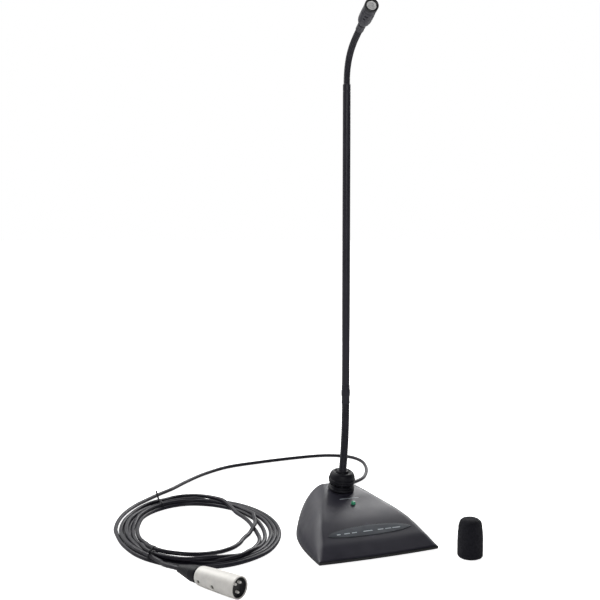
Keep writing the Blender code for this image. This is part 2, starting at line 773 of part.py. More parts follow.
def make_head(start, axis):
    """Ferrule, capsule housing, capsule, grille and front ring along one line; local z runs to the front."""
    frame = along_axis(start, axis)
    ferrule = ((0, 13.0), (3.4, 13.0), (3.7, 12.5), (3.7, 3.4), (3.4, 2.2), (LINK_TIP, 0), (0, 0))
    turned("head_ferrule", ferrule, NECK_BLACK, frame)
    shell = (
        (0, 24.0),
        (4.9, 24.0),
        (4.9, 46.0),
        (6.0, 46.0),
        (6.05, 42.6),
        (5.8, 42.3),
        (5.8, 41.7),
        (6.0, 41.4),
        (5.9, 34.0),
        (5.65, 26.0),
        (5.0, 20.0),
        (3.9, 15.6),
        (3.5, 14.6),
        (3.5, 13.3),
        (0, 13.3),
    )
    turned("capsule_housing", shell, BLACK_PAINT, frame)
    turned("capsule_element", ((0, 44.2), (4.6, 44.2), (4.6, 24.3), (0, 24.3)), BRASS, frame)
    turned("capsule_grille", ((0, 46.4), (2.5, 46.3), (4.6, 46.0), (4.6, 44.6), (0, 44.6)), GRILLE_SILVER, frame)
    ring = ((4.7, 48.4), (5.8, 48.4), (6.1, 48.0), (6.1, 46.3), (4.95, 46.3), (4.7, 46.5))
    turned("capsule_ring", ring, BLACK_STEEL, frame, closed=True)


def make_windscreen():
    turns = [math.pi / 2 * i / 3 for i in range(4)]
    inner = FOAM_SIDE[-1][0] - FOAM_EDGE
    edge = [(inner + FOAM_EDGE * math.cos(turn), FOAM_EDGE - FOAM_EDGE * math.sin(turn)) for turn in turns]
    bore = [(FOAM_BORE, 0.0), (FOAM_BORE, FOAM_BORE_DEPTH - 2), (FOAM_BORE - 2, FOAM_BORE_DEPTH)]
    profile = [*FOAM_SIDE, *edge, *bore, (0.0, FOAM_BORE_DEPTH)]
    turned("windscreen", profile, FOAM, Matrix.Translation(metres((*FOAM_CENTRE, 0))), steps=20)


# ---------------------------------------------------------------- cable and plug


def coil_frame():
    return Matrix.Translation(metres((*COIL_CENTRE, 0))) @ Matrix.Rotation(COIL_TURN, 4, "Z")


def make_coil():
    """The outer shape of all the turns: a turned ring stretched to an oval."""
    low = COIL_BOTTOM
    high = COIL_TOP
    inner = 100 * COIL_INNER_SHARE
    profile = [(inner + 3, high), (96, high), (99.2, high - 3), (100, (low + high) / 2), (99.2, low + 3), (96, low)]
    profile += [(inner + 3, low), (inner, low + 3), (inner, high - 3)]
    stretched = Matrix.Diagonal((COIL_HALF_SIZE[0] / 100, COIL_HALF_SIZE[1] / 100, 1.0, 1.0))
    turned("cable_coil", profile, CORD, coil_frame() @ stretched, closed=True, steps=40)


def coil_point(angle, share, height):
    local = Vector((COIL_HALF_SIZE[0] * share * math.cos(angle), COIL_HALF_SIZE[1] * share * math.sin(angle), 0))
    place = Matrix.Rotation(COIL_TURN, 3, "Z") @ local
    return (COIL_CENTRE[0] + place.x, COIL_CENTRE[1] + place.y, height)


def make_ties():
    """A wire tie wraps the bundle in the upright plane through the coil's centre."""
    spare = TIE_RADIUS + GAP
    for number, angle in enumerate(TIE_ANGLES, 1):
        outer = Vector(coil_point(angle, 1.0, 0))
        inner = Vector(coil_point(angle, COIL_INNER_SHARE, 0))
        across = (outer - inner).normalized()
        middle = (outer + inner) / 2 + Vector((0, 0, (COIL_BOTTOM + COIL_TOP) / 2))
        half = (outer - inner).length / 2 + spare + 0.2
        rise = (COIL_TOP - COIL_BOTTOM) / 2 + spare
        points = []
        for i in range(20):
            turn = 2 * math.pi * i / 20
            sideways = math.copysign(abs(math.cos(turn)) ** 0.45, math.cos(turn)) * half
            upward = math.copysign(abs(math.sin(turn)) ** 0.45, math.sin(turn)) * rise
            points.append(tuple(middle + across * sideways + Vector((0, 0, upward))))
        tube(f"cable_tie_{number}", points, TIE_RADIUS, RUBBER, resolution=1, cyclic=True)


def make_lead():
    path = smooth_through(LEAD_ROUTE)
    tube("cable_lead", stretch(path, 0, arc_lengths(path)[-1], 9.5), CORD_RADIUS, CORD, resolution=2)
    tail = smooth_through(TAIL_ROUTE)
    tube("plug_lead", stretch(tail, 0, arc_lengths(tail)[-1], 3.0), CORD_RADIUS, CORD, resolution=2)


def make_plug():
    axis = Vector(PLUG_FRONT) - Vector(PLUG_BACK)
    frame = along_axis(PLUG_BACK, axis)
    length = SHELL_LENGTH
    shell = turned(
        "plug_shell",
        (
            (0, 21.7),
            (SHELL_BORE, 21.7),
            (SHELL_BORE, length),
            (SHELL_RADIUS - 0.4, length),
            (SHELL_RADIUS, length - 0.5),
            (SHELL_RADIUS, length - 16),
            (SHELL_BACK_RADIUS, 2.0),
            (SHELL_BACK_RADIUS - 1.0, 0),
            (0, 0),
        ),
        NICKEL,
        frame,
        steps=28,
    )
    cylinder("plug_insert", SHELL_BORE - GAP, 22.0, 31.0, DARK_PLASTIC, frame, sides=36)
    for number, angle in enumerate((math.radians(50), math.radians(130), math.radians(270)), 1):
        place = frame @ Matrix.Translation(metres((PIN_CIRCLE * math.cos(angle), PIN_CIRCLE * math.sin(angle), 0)))
        pin = ((0, 46.0), (0.7, 45.9), (1.2, 45.0), (1.2, 31.3), (0, 31.3))
        turned(f"plug_pin_{number}", pin, NICKEL, place, steps=16)
    boot = ((0, -GAP), (7.7, -GAP), (7.7, -1.5), (7.0, -5.0), (5.2, -12.0), (3.6, -20.5), (3.2, -22.0), (0, -22.0))
    turned("plug_boot", boot, RUBBER, frame)
    along = axis.normalized()
    sideways = Vector((along.y, -along.x, 0))
    outward = (sideways * math.cos(math.radians(22)) - Vector((0, 0, math.sin(math.radians(22))))).normalized()
    for number, spot in enumerate(PLUG_SCREW_SPOTS, 1):
        start = Vector(PLUG_BACK) + along * spot
        screw_frame = along_axis(start, outward)
        hole = cylinder(f"screw_hole_{number}", 1.75, 7.9, 12, matrix=screw_frame, collection=CUTTERS, sides=20)
        add_boolean(shell, hole)
        cylinder(f"plug_screw_{number}", 1.4, 8.2, 8.9, ZINC, screw_frame, sides=20)


def main():
    make_housing()
    make_underside()
    make_board()
    make_key_and_light()
    make_cable_entry()
    make_shock_mount()
    make_neck()
    make_windscreen()
    make_coil()
    make_ties()
    make_lead()
    make_plug()


main()
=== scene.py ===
"""Looks of the gooseneck podium microphone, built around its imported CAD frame.

Shapes are worked out in millimetres and turned into metres (MM) when their meshes are made. +Z is up and
the base's front faces -Y, as in the CAD model. Each section makes one group of pieces, names the CAD nodes
that they stand for, and says which body they ride on.
"""

import math

import bmesh
import bpy
import numpy as np
from mathutils import Matrix, Vector, noise
from mathutils.kdtree import KDTree


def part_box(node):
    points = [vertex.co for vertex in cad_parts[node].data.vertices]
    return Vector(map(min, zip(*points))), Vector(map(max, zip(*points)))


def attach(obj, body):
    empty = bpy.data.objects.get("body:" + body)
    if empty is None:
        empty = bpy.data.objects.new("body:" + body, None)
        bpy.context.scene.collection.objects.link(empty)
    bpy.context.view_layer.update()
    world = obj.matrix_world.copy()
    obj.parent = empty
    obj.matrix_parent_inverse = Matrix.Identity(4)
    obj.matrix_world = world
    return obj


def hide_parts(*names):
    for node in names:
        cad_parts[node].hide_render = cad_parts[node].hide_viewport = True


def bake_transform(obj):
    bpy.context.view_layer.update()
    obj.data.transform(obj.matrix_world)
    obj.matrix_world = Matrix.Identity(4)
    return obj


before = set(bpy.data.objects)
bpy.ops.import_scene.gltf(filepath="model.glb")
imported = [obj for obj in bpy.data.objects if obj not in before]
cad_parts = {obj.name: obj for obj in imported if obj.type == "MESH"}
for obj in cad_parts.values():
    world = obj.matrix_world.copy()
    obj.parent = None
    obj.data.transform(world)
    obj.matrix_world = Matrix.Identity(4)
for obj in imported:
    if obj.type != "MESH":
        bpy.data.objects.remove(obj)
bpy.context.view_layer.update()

MM = 0.001
SMOOTH_ANGLE = math.radians(38)
FLOOR_LIFT = 0.9

# Camera: the place of its eye in metres, and the direction it looks in.
EYE = (-0.36713, -0.79204, 0.295)
LOOK = (0.3676628, 0.9271476, -0.0722585)
FOCAL_LENGTH = 54.66
SENSOR = 36.0

# Lead: route points in metres, from the gland's tip to the coil.
CORD_DIAMETER = 4.0
LEAD_ROUTE = (
    (0.0, 0.0903, 0.0098), (0.0003, 0.099, 0.0099), (0.0035, 0.112, 0.0065), (0.012, 0.126, 0.003),
    (0.027, 0.14, 0.0021), (0.048, 0.152, 0.0021), (0.07, 0.163, 0.0021), (0.0885, 0.1731, 0.0021),
    (0.1035, 0.186, 0.0021), (0.1189, 0.2103, 0.0021), (0.1295, 0.236, 0.0021), (0.1345, 0.259, 0.0021),
    (0.131, 0.281, 0.0021), (0.116, 0.296, 0.0021), (0.0932, 0.304, 0.0021), (0.0559, 0.3045, 0.0021),
    (0.0101, 0.3005, 0.0021), (-0.0342, 0.2925, 0.0021), (-0.07, 0.272, 0.0021), (-0.0972, 0.2485, 0.0021),
    (-0.1241, 0.2207, 0.0021), (-0.1416, 0.2059, 0.0021), (-0.1588, 0.1897, 0.0021), (-0.1752, 0.173, 0.0021),
    (-0.1897, 0.153, 0.0021), (-0.201, 0.131, 0.0021), (-0.2085, 0.109, 0.0021), (-0.2119, 0.0905, 0.0021),
)
# From the coil into the plug's boot.
TAIL_ROUTE = (
    (-0.1923, -0.0117, 0.0056), (-0.1912, -0.02, 0.0059), (-0.1892, -0.028, 0.0067),
    (-0.1862, -0.0356, 0.0078), (-0.1827, -0.0426, 0.0083),
)

# Coil: half sizes of its outer line, and how far inside that line each strand lies, in millimetres.
COIL_HALF_SIZE = (78.0, 103.0)
COIL_TURN = math.radians(-6.6)
COIL_START = 188.0
TIE_BACK = 113.0
TIE_FRONT = 224.0
# Each strand in turn, as it goes round from the back tie: how far inside the outer line it lies at these
# angles, and how high its middle is. The strands are stacked at the two ties and spread out on the right.
STRAND_ANGLES = (113, 140, 168, 196, 224, 250, 285, 320, 355, 390, 405, 420, 435, 450)
STRAND_INSETS = (
    (0.0, 0.0, -1.5, 1.4, 2.0, 2.2, 1.5, 0.5, 0.0, 0.0, 0.2, 0.6, 1.4, 2.4),
    (4.0, 4.4, 5.2, 6.0, 6.1, 6.3, 5.7, 4.7, 4.2, 4.2, 4.4, 4.8, 5.6, 6.6),
    (8.1, 8.5, 9.4, 10.2, 10.2, 10.4, 9.9, 8.9, 8.4, 8.4, 8.6, 8.8, 7.2, 4.9),
    (6.1, 6.5, 7.3, 8.1, 8.2, 8.3, 8.4, 12.7, 15.2, 15.4, 15.2, 14.4, 12.6, 11.0),
    (12.2, 13.5, 17.6, 19.0, 7.5, 20.0, 36.0, 36.0, 23.0, 12.5, 11.2, 10.5, 10.0, 9.6),
    (10.2, 11.0, 13.5, 13.0, 6.1, 6.2, 12.5, 16.5, 24.2, 23.2, 18.0, 9.5, 0.0, -7.0),
    (5.0, 3.6, 3.2, 3.9, 4.1),
)
FLAT = (2.1,) * 14
STRAND_HEIGHTS = (
    FLAT,
    FLAT,
    (2.1, 2.1, 2.1, 2.1, 2.1, 2.1, 2.1, 2.1, 2.1, 2.1, 2.1, 2.6, 5.2, 5.7),
    (5.7, 5.7, 5.7, 5.7, 5.7, 5.7, 5.5, 3.4, 2.1, 2.1, 2.1, 2.1, 2.1, 2.1),
    (2.1, 2.1, 2.6, 6.0, 13.0, 9.5, 4.5, 2.1, 6.3, 5.6, 5.7, 5.9, 5.7, 5.7),
    (5.7, 5.5, 2.3, 4.5, 9.2, 9.2, 6.3, 2.4, 2.1, 2.6, 6.5, 10.2, 9.8, 8.5),
    (9.6, 8.2, 5.7, 5.7, 5.7),
)

# How the turns settle in each round: sinking, pushing apart where they touch, and keeping their curve.
SETTLE_ROUNDS = 70
SINK = 0.04
PUSH_SHARE = 0.32
LARGEST_PUSH = 0.8
CURL_SHARE = 0.3
NEIGHBOURS = 6
TAIL_HELD = 36.0
# Twist ties: the flat band's half sizes and gap to the strands, its tails' heights, and how far it reaches.
TIE_HALF_WIDTH = 1.05
TIE_HALF_THICKNESS = 0.38
TIE_GAP = 0.46
TIE_TAILS = {TIE_BACK: 8.5, TIE_FRONT: 3.0}
TIE_INNER_REACH = 26.0
TIE_OUTER_REACH = 2.5

# Plug: its axis runs from back to front. A screw has a place along it, and its head's distance from it.
PLUG_BACK = (-171.6, -62.9, 8.7)
PLUG_FRONT = (-147.6, -106.8, 9.6)
PLUG_LENGTH = math.dist(PLUG_BACK, PLUG_FRONT)
PLUG_SCREWS = ((10.0, 8.0), (27.0, 8.6))
PLUG_SCREW_DIP = math.radians(14)
PIN_ANGLES = (math.radians(50), math.radians(130), math.radians(270))
PIN_CIRCLE = 4.2

# Desk base. "Along" is the distance behind the front edge.
BASE_HALF_WIDTH = 60.4
BASE_DEPTH = 130.5
BASE_OUTLINE_POWER = 2.5
PLAN_STEPS = 90
BASE_FRONT_Y = -65.0
BASE_FRONT_BOW = 2.2
SKIRT_Z = 4.3
EDGE_Z = 4.0
LIP_RISE = 0.6
CREASE_ALONG = 13.0
WALL = 2.6
REAR_BLUNT = 0.004
CROWN_HEIGHTS = ((13, 14.2), (40, 28.2), (62, 34.9), (84, 40.2), (105, 43.2), (130.5, 16.5))
CROWN_HALF_WIDTHS = ((0, 56), (13, 50), (30, 44), (60, 31), (84, 19), (105, 12), (130.5, 8))
SIDE_ROUNDNESS = ((0, 1.57), (60, 1.4), (100, 1.7), (130.5, 1.6))
PLATE_SCREWS = ((-40, -45), (40, -45), (-25, 36), (25, 36))
GLAND_Z = 9.8
GLAND_TIP_Y = 90.0

# Mute key and status light
KEY_CENTRE = (0.0, -43.8, 19.2)
KEY_TILT = math.radians(29.0)
KEY_HALF_WIDTH = 42.3
KEY_BACK_RISE = 7.3
KEY_FRONT_DROP = 4.8
KEY_POINTEDNESS = 1.18
LIGHT_CENTRE = (0.0, -6.1, 34.1)
LIGHT_TILT = math.radians(17.0)
# Printed dashes on the key: (left end, right end), with one wider mark in the middle.
KEY_DASHES = (
    (-34.0, -30.3), (-26.6, -20.8), (-18.8, -13.6), (-7.2, 2.3), (7.8, 13.6), (15.5, 21.9), (23.0, 31.3),
)

PRINT_HALF_HEIGHT = 0.5
# Printed line above the light: its ends, and how far up the key's slope from the key's centre it lies.
LINE_ENDS = (-9.8, 10.6)
LINE_UP_SLOPE = (4.3 - KEY_CENTRE[1]) / math.cos(KEY_TILT)

# Shock mount
SEAT_CENTRE = (0.0, 22.5, 41.2)
MOUNT_TILT = math.radians(9.0)

# Gooseneck
LOWER_RADIUS = 3.9
TUBE_RADIUS = 3.75
UPPER_RADIUS = 3.2
TUBE_Y = 12.5
LOWER_START = (0.0, 19.2, 61.3)
LOWER_HANDLES = ((0.0, 14.8, 82.0), (0.0, TUBE_Y, 108.0))
LOWER_END = (0.0, TUBE_Y, 130.0)
COUPLER_TOP = 148.0
TUBE_TOP = 438.0
UPPER_HEADING = math.radians(12.5)
UPPER_HANDLES = ((0.0, 463.0), (22.9, 470.5))
UPPER_END = (54.2, 477.4)
HINGES_PER_FLEX = 6
END_MARGIN = 1.5

# Grille: its disc, and the holes set in rings round the middle.
GRILLE_RADIUS = 4.3
GRILLE_HOLE = 0.2
GRILLE_PITCH = 0.62

# Foam windscreen
FOAM_SIDE = (
    (0, 36.4), (4.5, 36.3), (7.4, 35.7), (9.3, 34.2), (10.3, 32.2), (10.9, 29), (11.5, 23), (11.8, 16),
)
FOAM_EDGE = 3.0
FOAM_BORE = 5.2
FOAM_BORE_DEPTH = 27.0


# ---------------- curves


def eased(stations, position):
    """Smooth curve through (position, value) stations that never overshoots them."""
    places = [station[0] for station in stations]
    values = [station[1] for station in stations]
    slopes = [(values[i + 1] - values[i]) / (places[i + 1] - places[i]) for i in range(len(places) - 1)]
    tangents = [slopes[0]]
    for before, after in zip(slopes, slopes[1:]):
        tangents.append(0.0 if before * after <= 0 else 2 * before * after / (before + after))
    tangents.append(slopes[-1])
    position = min(max(position, places[0]), places[-1])
    index = max(i for i in range(len(places) - 1) if places[i] <= position)
    width = places[index + 1] - places[index]
    t = (position - places[index]) / width
    start = (1 + 2 * t) * (1 - t) ** 2 * values[index] + t * (1 - t) ** 2 * width * tangents[index]
    end = t * t * (3 - 2 * t) * values[index + 1] + t * t * (t - 1) * width * tangents[index + 1]
    return start + end


def bezier(start, handles, end):
    t = np.linspace(0.0, 1.0, 200)[:, None]
    a, b, c, d = (np.array(point, float) for point in (start, *handles, end))
    return (1 - t) ** 3 * a + 3 * (1 - t) ** 2 * t * b + 3 * (1 - t) * t * t * c + t**3 * d


def smooth_through(route):
    """Catmull-Rom curve through the route's points."""
    knots = np.array(route, float)
    knots = np.vstack([2 * knots[0] - knots[1], knots, 2 * knots[-1] - knots[-2]])
    t = np.linspace(0.0, 1.0, 24, endpoint=False)[:, None]
    made = []
    for p0, p1, p2, p3 in zip(knots, knots[1:], knots[2:], knots[3:]):
        cubic = 3 * p1 - p0 - 3 * p2 + p3
        square = 2 * p0 - 5 * p1 + 4 * p2 - p3
        made.append(p1 + 0.5 * ((p2 - p0) * t + square * t * t + cubic * t**3))
    return np.vstack([*made, knots[-2:-1]])


def arc_lengths(path):
    return np.concatenate([[0.0], np.cumsum(np.linalg.norm(np.diff(path, axis=0), axis=1))])


def at_lengths(path, distances):
    """Points at these distances along a path, carried on straight past its ends."""
    lengths = arc_lengths(path)
    points = np.stack([np.interp(distances, lengths, path[:, axis]) for axis in range(3)], axis=1)
    first = (path[1] - path[0]) / np.linalg.norm(path[1] - path[0])
    last = (path[-1] - path[-2]) / np.linalg.norm(path[-1] - path[-2])
    before = np.minimum(distances, 0.0)[:, None]
    after = np.maximum(distances - lengths[-1], 0.0)[:, None]
    return points + before * first + after * last


def evenly(path, spacing):
    total = arc_lengths(path)[-1]
    return at_lengths(path, np.linspace(0.0, total, int(round(total / spacing)) + 1))


def rounded(profile, radius, steps=4):
    """A (radius, height) profile with each inner corner turned into a short arc."""
    points = [np.array(point, float) for point in profile]
    made = [points[0]]
    for before, corner, after in zip(points, points[1:], points[2:]):
        reach_in = min(radius, np.linalg.norm(before - corner) * 0.45)
        reach_out = min(radius, np.linalg.norm(after - corner) * 0.45)
        start = corner + (before - corner) / np.linalg.norm(before - corner) * reach_in
        end = corner + (after - corner) / np.linalg.norm(after - corner) * reach_out
        for i in range(steps + 1):
            t = i / steps
            made.append((1 - t) ** 2 * start + 2 * t * (1 - t) * corner + t * t * end)
    made.append(points[-1])
    return np.array(made)


# ---------------- meshes


def along_axis(origin, axis):
    """World matrix whose local +Z is the axis and whose origin is the point, given in millimetres."""
    turn = Vector(axis).normalized().to_track_quat("Z", "Y").to_matrix().to_4x4()
    return Matrix.Translation(Vector(origin) * MM) @ turn


def tilted_forward(origin, angle):
    """World matrix with local +Z tipped towards -Y by the angle and local +X along world X."""
    return Matrix.Translation(Vector(origin) * MM) @ Matrix.Rotation(angle, 4, "X")


def object_from(name, bm, matrix=None):
    mesh = bpy.data.meshes.new(name)
    if matrix is not None:
        bmesh.ops.transform(bm, matrix=matrix, verts=bm.verts)
    bmesh.ops.recalc_face_normals(bm, faces=bm.faces)
    bm.to_mesh(mesh)
    bm.free()
    obj = bpy.data.objects.new(name, mesh)
    bpy.context.scene.collection.objects.link(obj)
    return obj


def rings_mesh(name, rings, matrix=None, loop=False):
    """Closed mesh through rings of points (rings x sides x 3, mm), capped at both ends or looped."""
    sides = rings.shape[1]
    bm = bmesh.new()
    verts = [[bm.verts.new(Vector(point) * MM) for point in ring] for ring in rings]
    pairs = list(zip(verts, verts[1:] + verts[:1])) if loop else list(zip(verts, verts[1:]))
    for near, far in pairs:
        for i in range(sides):
            j = (i + 1) % sides
            bm.faces.new((near[i], near[j], far[j], far[i]))
    if not loop:
        bm.faces.new(verts[0][::-1])
        bm.faces.new(verts[-1])
    bmesh.ops.remove_doubles(bm, verts=bm.verts, dist=1e-7)
    bmesh.ops.dissolve_degenerate(bm, edges=bm.edges, dist=1e-7)
    return object_from(name, bm, matrix)


def lathe(name, profile, matrix=None, steps=96, closed=False):
    """Turn (radius, height) points round local Z."""
    angles = np.linspace(0.0, 2 * math.pi, steps, endpoint=False)
    radius = np.array([max(point[0], 0.0) for point in profile])[:, None]
    height = np.repeat(np.array([point[1] for point in profile])[:, None], steps, axis=1)
    rings = np.stack([radius * np.cos(angles), radius * np.sin(angles), height], axis=-1)
    return rings_mesh(name, rings, matrix, loop=closed)


def turned(name, profile, fillet, matrix, steps, closed=False, arc=4):
    """A lathed solid with the corners of its profile softened; a closed profile leaves the axis open."""
    if closed:
        return lathe(name, rounded((*profile, profile[0]), fillet, arc)[:-1], matrix, steps, closed=True)
    return lathe(name, rounded(profile, fillet, arc), matrix, steps)


def cross_directions(path, loop=False):
    """Two steady unit directions across a path at each of its points."""
    ahead = np.roll(path, -1, axis=0) - np.roll(path, 1, axis=0) if loop else np.gradient(path, axis=0)
    tangents = ahead / np.linalg.norm(ahead, axis=1)[:, None]
    side = np.cross(tangents[0], (0.0, 0.0, 1.0) if abs(tangents[0][2]) < 0.9 else (0.0, 1.0, 0.0))
    sides = []
    for tangent in tangents:
        side = side - tangent * (side @ tangent)
        side = side / np.linalg.norm(side)
        sides.append(side)
    sides = np.array(sides)
    return sides, np.cross(tangents, sides)


def swept(name, path, radii, sides=24, loop=False):
    """A tube along a path; radii is one number, one per ring, or rings x sides."""
    side, up = cross_directions(path, loop)
    angles = np.linspace(0.0, 2 * math.pi, sides, endpoint=False)
    if np.ndim(radii) < 2:
        radii = np.asarray(radii, float).reshape(-1, 1)
    radii = np.broadcast_to(radii, (len(path), sides))
    rings = path[:, None, :] + radii[..., None] * (
        side[:, None, :] * np.cos(angles)[None, :, None] + up[:, None, :] * np.sin(angles)[None, :, None]
    )
    return rings_mesh(name, rings, loop=loop)


def box_cutter(size, centre, matrix=None):
    bm = bmesh.new()
    bmesh.ops.create_cube(bm, size=1.0)
    bmesh.ops.scale(bm, vec=Vector(size) * MM, verts=bm.verts)
    bmesh.ops.translate(bm, vec=Vector(centre) * MM, verts=bm.verts)
    return object_from("cutter", bm, matrix)


def cylinder_cutter(radius, bottom, top, matrix=None, centre=(0.0, 0.0), steps=64):
    offset = Matrix.Translation((centre[0] * MM, centre[1] * MM, 0.0))
    place = matrix @ offset if matrix is not None else offset
    return lathe("cutter", ((0, bottom), (radius, bottom), (radius, top), (0, top)), place, steps)


def carve(obj, cutters, operation="DIFFERENCE"):
    """Cut or join the other meshes and leave plain geometry behind."""
    for cutter in cutters:
        modifier = obj.modifiers.new("carve", "BOOLEAN")
        modifier.operation = operation
        modifier.solver = "EXACT"
        modifier.object = cutter
    bpy.context.view_layer.update()
    made = bpy.data.meshes.new_from_object(obj.evaluated_get(bpy.context.evaluated_depsgraph_get()))
    obj.modifiers.clear()
    obj.data = made
    for cutter in cutters:
        bpy.data.objects.remove(cutter, do_unlink=True)
    return obj


def join(name, objects):
    """One object from several that are all in the row frame."""
    bm = bmesh.new()
    for obj in objects:
        bm.from_mesh(obj.data)
        bpy.data.objects.remove(obj, do_unlink=True)
    return object_from(name, bm)


def dress(obj, material):
    obj.data.materials.clear()
    obj.data.materials.append(material)
    obj.data.shade_smooth()
    obj.data.set_sharp_from_angle(angle=SMOOTH_ANGLE)


def piece(obj, material, body, *nodes):
    """Finish a piece that rides on one body and stands for these CAD nodes."""
    dress(obj, material)
    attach(obj, body)
    if nodes:
        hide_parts(*nodes)
    return obj


# ---------------- materials


def add_node(tree, kind, inputs=(), **settings):
    """A shader node whose sockets are set to numbers or linked to other nodes' outputs."""
    made = tree.nodes.new(kind)
    for key, value in settings.items():
        setattr(made, key, value)
    for key, value in dict(inputs).items():
        if isinstance(value, bpy.types.NodeSocket):
            tree.links.new(value, made.inputs[key])
        else:
            made.inputs[key].default_value = value
    return made


class Shader:
    """A Principled material under construction, with helpers for the nodes that feed it."""

    def __init__(self, name):
        self.material = bpy.data.materials.new(name)
        self.material.use_nodes = True
        self.tree = self.material.node_tree
        self.surface = self.tree.nodes["Principled BSDF"]
        self.place = self.tree.nodes.new("ShaderNodeTexCoord").outputs["Object"]

    def node(self, kind, inputs=(), **settings):
        return add_node(self.tree, kind, inputs, **settings)

    def noise(self, scale, detail=3.0, roughness=0.5):
        inputs = {"Vector": self.place, "Scale": scale, "Detail": detail, "Roughness": roughness}
        return self.node("ShaderNodeTexNoise", inputs).outputs["Fac"]

    def cells(self, scale):
        return self.node("ShaderNodeTexVoronoi", {"Vector": self.place, "Scale": scale}).outputs["Distance"]

    def spread(self, value, low, high, start=0.3, end=0.7):
        """Map a value's start..end range to low..high."""
        inputs = {"Value": value, "From Min": start, "From Max": end, "To Min": low, "To Max": high}
        return self.node("ShaderNodeMapRange", inputs).outputs["Result"]

    def mix(self, factor, first, second):
        mixer = self.node("ShaderNodeMix", data_type="RGBA")
        for socket, value in ((mixer.inputs[0], factor), (mixer.inputs[6], first), (mixer.inputs[7], second)):
            if isinstance(value, bpy.types.NodeSocket):
                self.tree.links.new(value, socket)
            else:
                socket.default_value = value if isinstance(value, float) else (*value, 1.0)
        return mixer.outputs[2]

    def shades(self, factor, dark, light):
        """The base colour runs from dark to light with the factor."""
        self.link("Base Color", self.mix(factor, dark, light))

    def math(self, operation, first, second):
        return self.node("ShaderNodeMath", {0: first, 1: second}, operation=operation).outputs[0]

    def link(self, socket, value):
        self.tree.links.new(value, self.surface.inputs[socket])

    def fixed(self, **values):
        for key, value in values.items():
            self.surface.inputs[key.replace("_", " ")].default_value = value

    def bump(self, height, depth_mm, strength=1.0, under=None):
        inputs = {"Height": height, "Distance": depth_mm * MM, "Strength": strength}
        if under is not None:
            inputs["Normal"] = under
        return self.node("ShaderNodeBump", inputs).outputs["Normal"]


def scaled(colour, factor):
    return tuple(min(channel * factor, 1.0) for channel in colour)


def worn_with_edge_highlight(name, colour, roughness, metallic=0.0, tone=0.2, blotch=70.0, grain=2400.0, depth=0.02, **fixed):
    """A moulded or painted surface: soft tones, uneven gloss, a fine grain, and lighter edges that are partly
    rubbed wear and partly a painted highlight along rounded edges.
    """
    made = Shader(name)
    broad = made.noise(blotch, 4.0, 0.6)
    fine = made.noise(grain, 2.0)
    colour_now = made.mix(made.spread(broad, 0.0, 1.0), scaled(colour, 1 - tone), scaled(colour, 1 + tone))
    # Convex edges are painted lighter: partly rubbed wear, partly a painted highlight where rounded edges
    # would catch the light.
    edge = made.node("ShaderNodeNewGeometry").outputs["Pointiness"]
    rubbed_and_edge_highlight = made.math("MULTIPLY", made.spread(edge, 0.0, 0.55, 0.52, 0.62), made.spread(broad, 0.2, 1.0))
    made.shades(rubbed_and_edge_highlight, colour_now, scaled(colour, 2.2))
    made.link("Roughness", made.spread(broad, roughness - 0.07, roughness + 0.07))
    made.link("Normal", made.bump(fine, depth))
    made.fixed(Metallic=metallic, **fixed)
    return made.material


def foam_material():
    """Open-cell foam: pits painted darker as shade in the hollows, between slightly paler cell walls."""
    made = Shader("open_cell_foam")
    pits = made.cells(1500.0)
    coarse = made.cells(620.0)
    depth = made.math("ADD", pits, coarse)
    # The pits' darkness is painted shade in the foam's hollows; the same pit depth also drives the bump.
    made.shades(made.spread(depth, 0.0, 1.0, 0.35, 1.0), (0.003, 0.003, 0.005), (0.016, 0.016, 0.021))
    made.link("Normal", made.bump(depth, 0.35, 0.9))
    made.link("Roughness", made.spread(coarse, 0.86, 1.0))
    made.fixed(Sheen_Weight=0.06, Sheen_Roughness=0.6, Specular_IOR_Level=0.1)
    return made.material


def metal(name, colour, roughness, metallic=1.0):
    """Plated or turned metal: blasted grain and faint stains. A dull plating mirrors less."""
    made = Shader(name)
    stain = made.noise(110.0, 5.0, 0.65)
    made.shades(made.spread(stain, 0.0, 1.0), scaled(colour, 0.92), scaled(colour, 1.08))
    made.link("Roughness", made.spread(stain, roughness - 0.06, roughness + 0.07))
    made.link("Normal", made.bump(made.noise(3500.0, 2.0), 0.006))
    made.fixed(Metallic=metallic)
    return made.material


def jacket_material():
    """Soft PVC: a satin skin with slow ripples, dust in places and a fine grain."""
    made = Shader("pvc_jacket")
    ripple = made.noise(160.0, 3.0)
    dust = made.noise(900.0, 4.0, 0.7)
    made.shades(made.spread(dust, 0.0, 1.0, 0.45, 0.75), (0.013, 0.012, 0.019), (0.028, 0.027, 0.037))
    made.link("Roughness", made.spread(ripple, 0.34, 0.46))
    made.link("Normal", made.bump(dust, 0.012, 0.6, made.bump(ripple, 0.12, 0.5)))
    made.fixed(Specular_IOR_Level=0.3)
    return made.material


def glow_material():
    """The status light's clear green lens, lit from below."""
    made = Shader("lit_green_lens")
    cloud = made.noise(900.0, 2.0)
    made.shades(made.spread(cloud, 0.0, 1.0), (0.012, 0.17, 0.085), (0.035, 0.34, 0.18))
    made.link("Roughness", made.spread(cloud, 0.08, 0.2))
    made.fixed(Emission_Color=(0.02, 0.4, 0.2, 1.0), Emission_Strength=0.12)
    made.fixed(Coat_Weight=1.0, Coat_Roughness=0.05)
    return made.material


def board_material():
    """Green solder resist with a faint pattern of tracks."""
    made = Shader("solder_resist")
    brick = made.node("ShaderNodeTexBrick", {"Vector": made.place, "Scale": 260.0, "Mortar Size": 0.03})
    tracks = brick.outputs["Fac"]
    made.shades(tracks, (0.010, 0.13, 0.055), (0.03, 0.24, 0.11))
    made.link("Roughness", made.spread(made.noise(300.0), 0.28, 0.42))
    made.link("Normal", made.bump(tracks, 0.03))
    return made.material


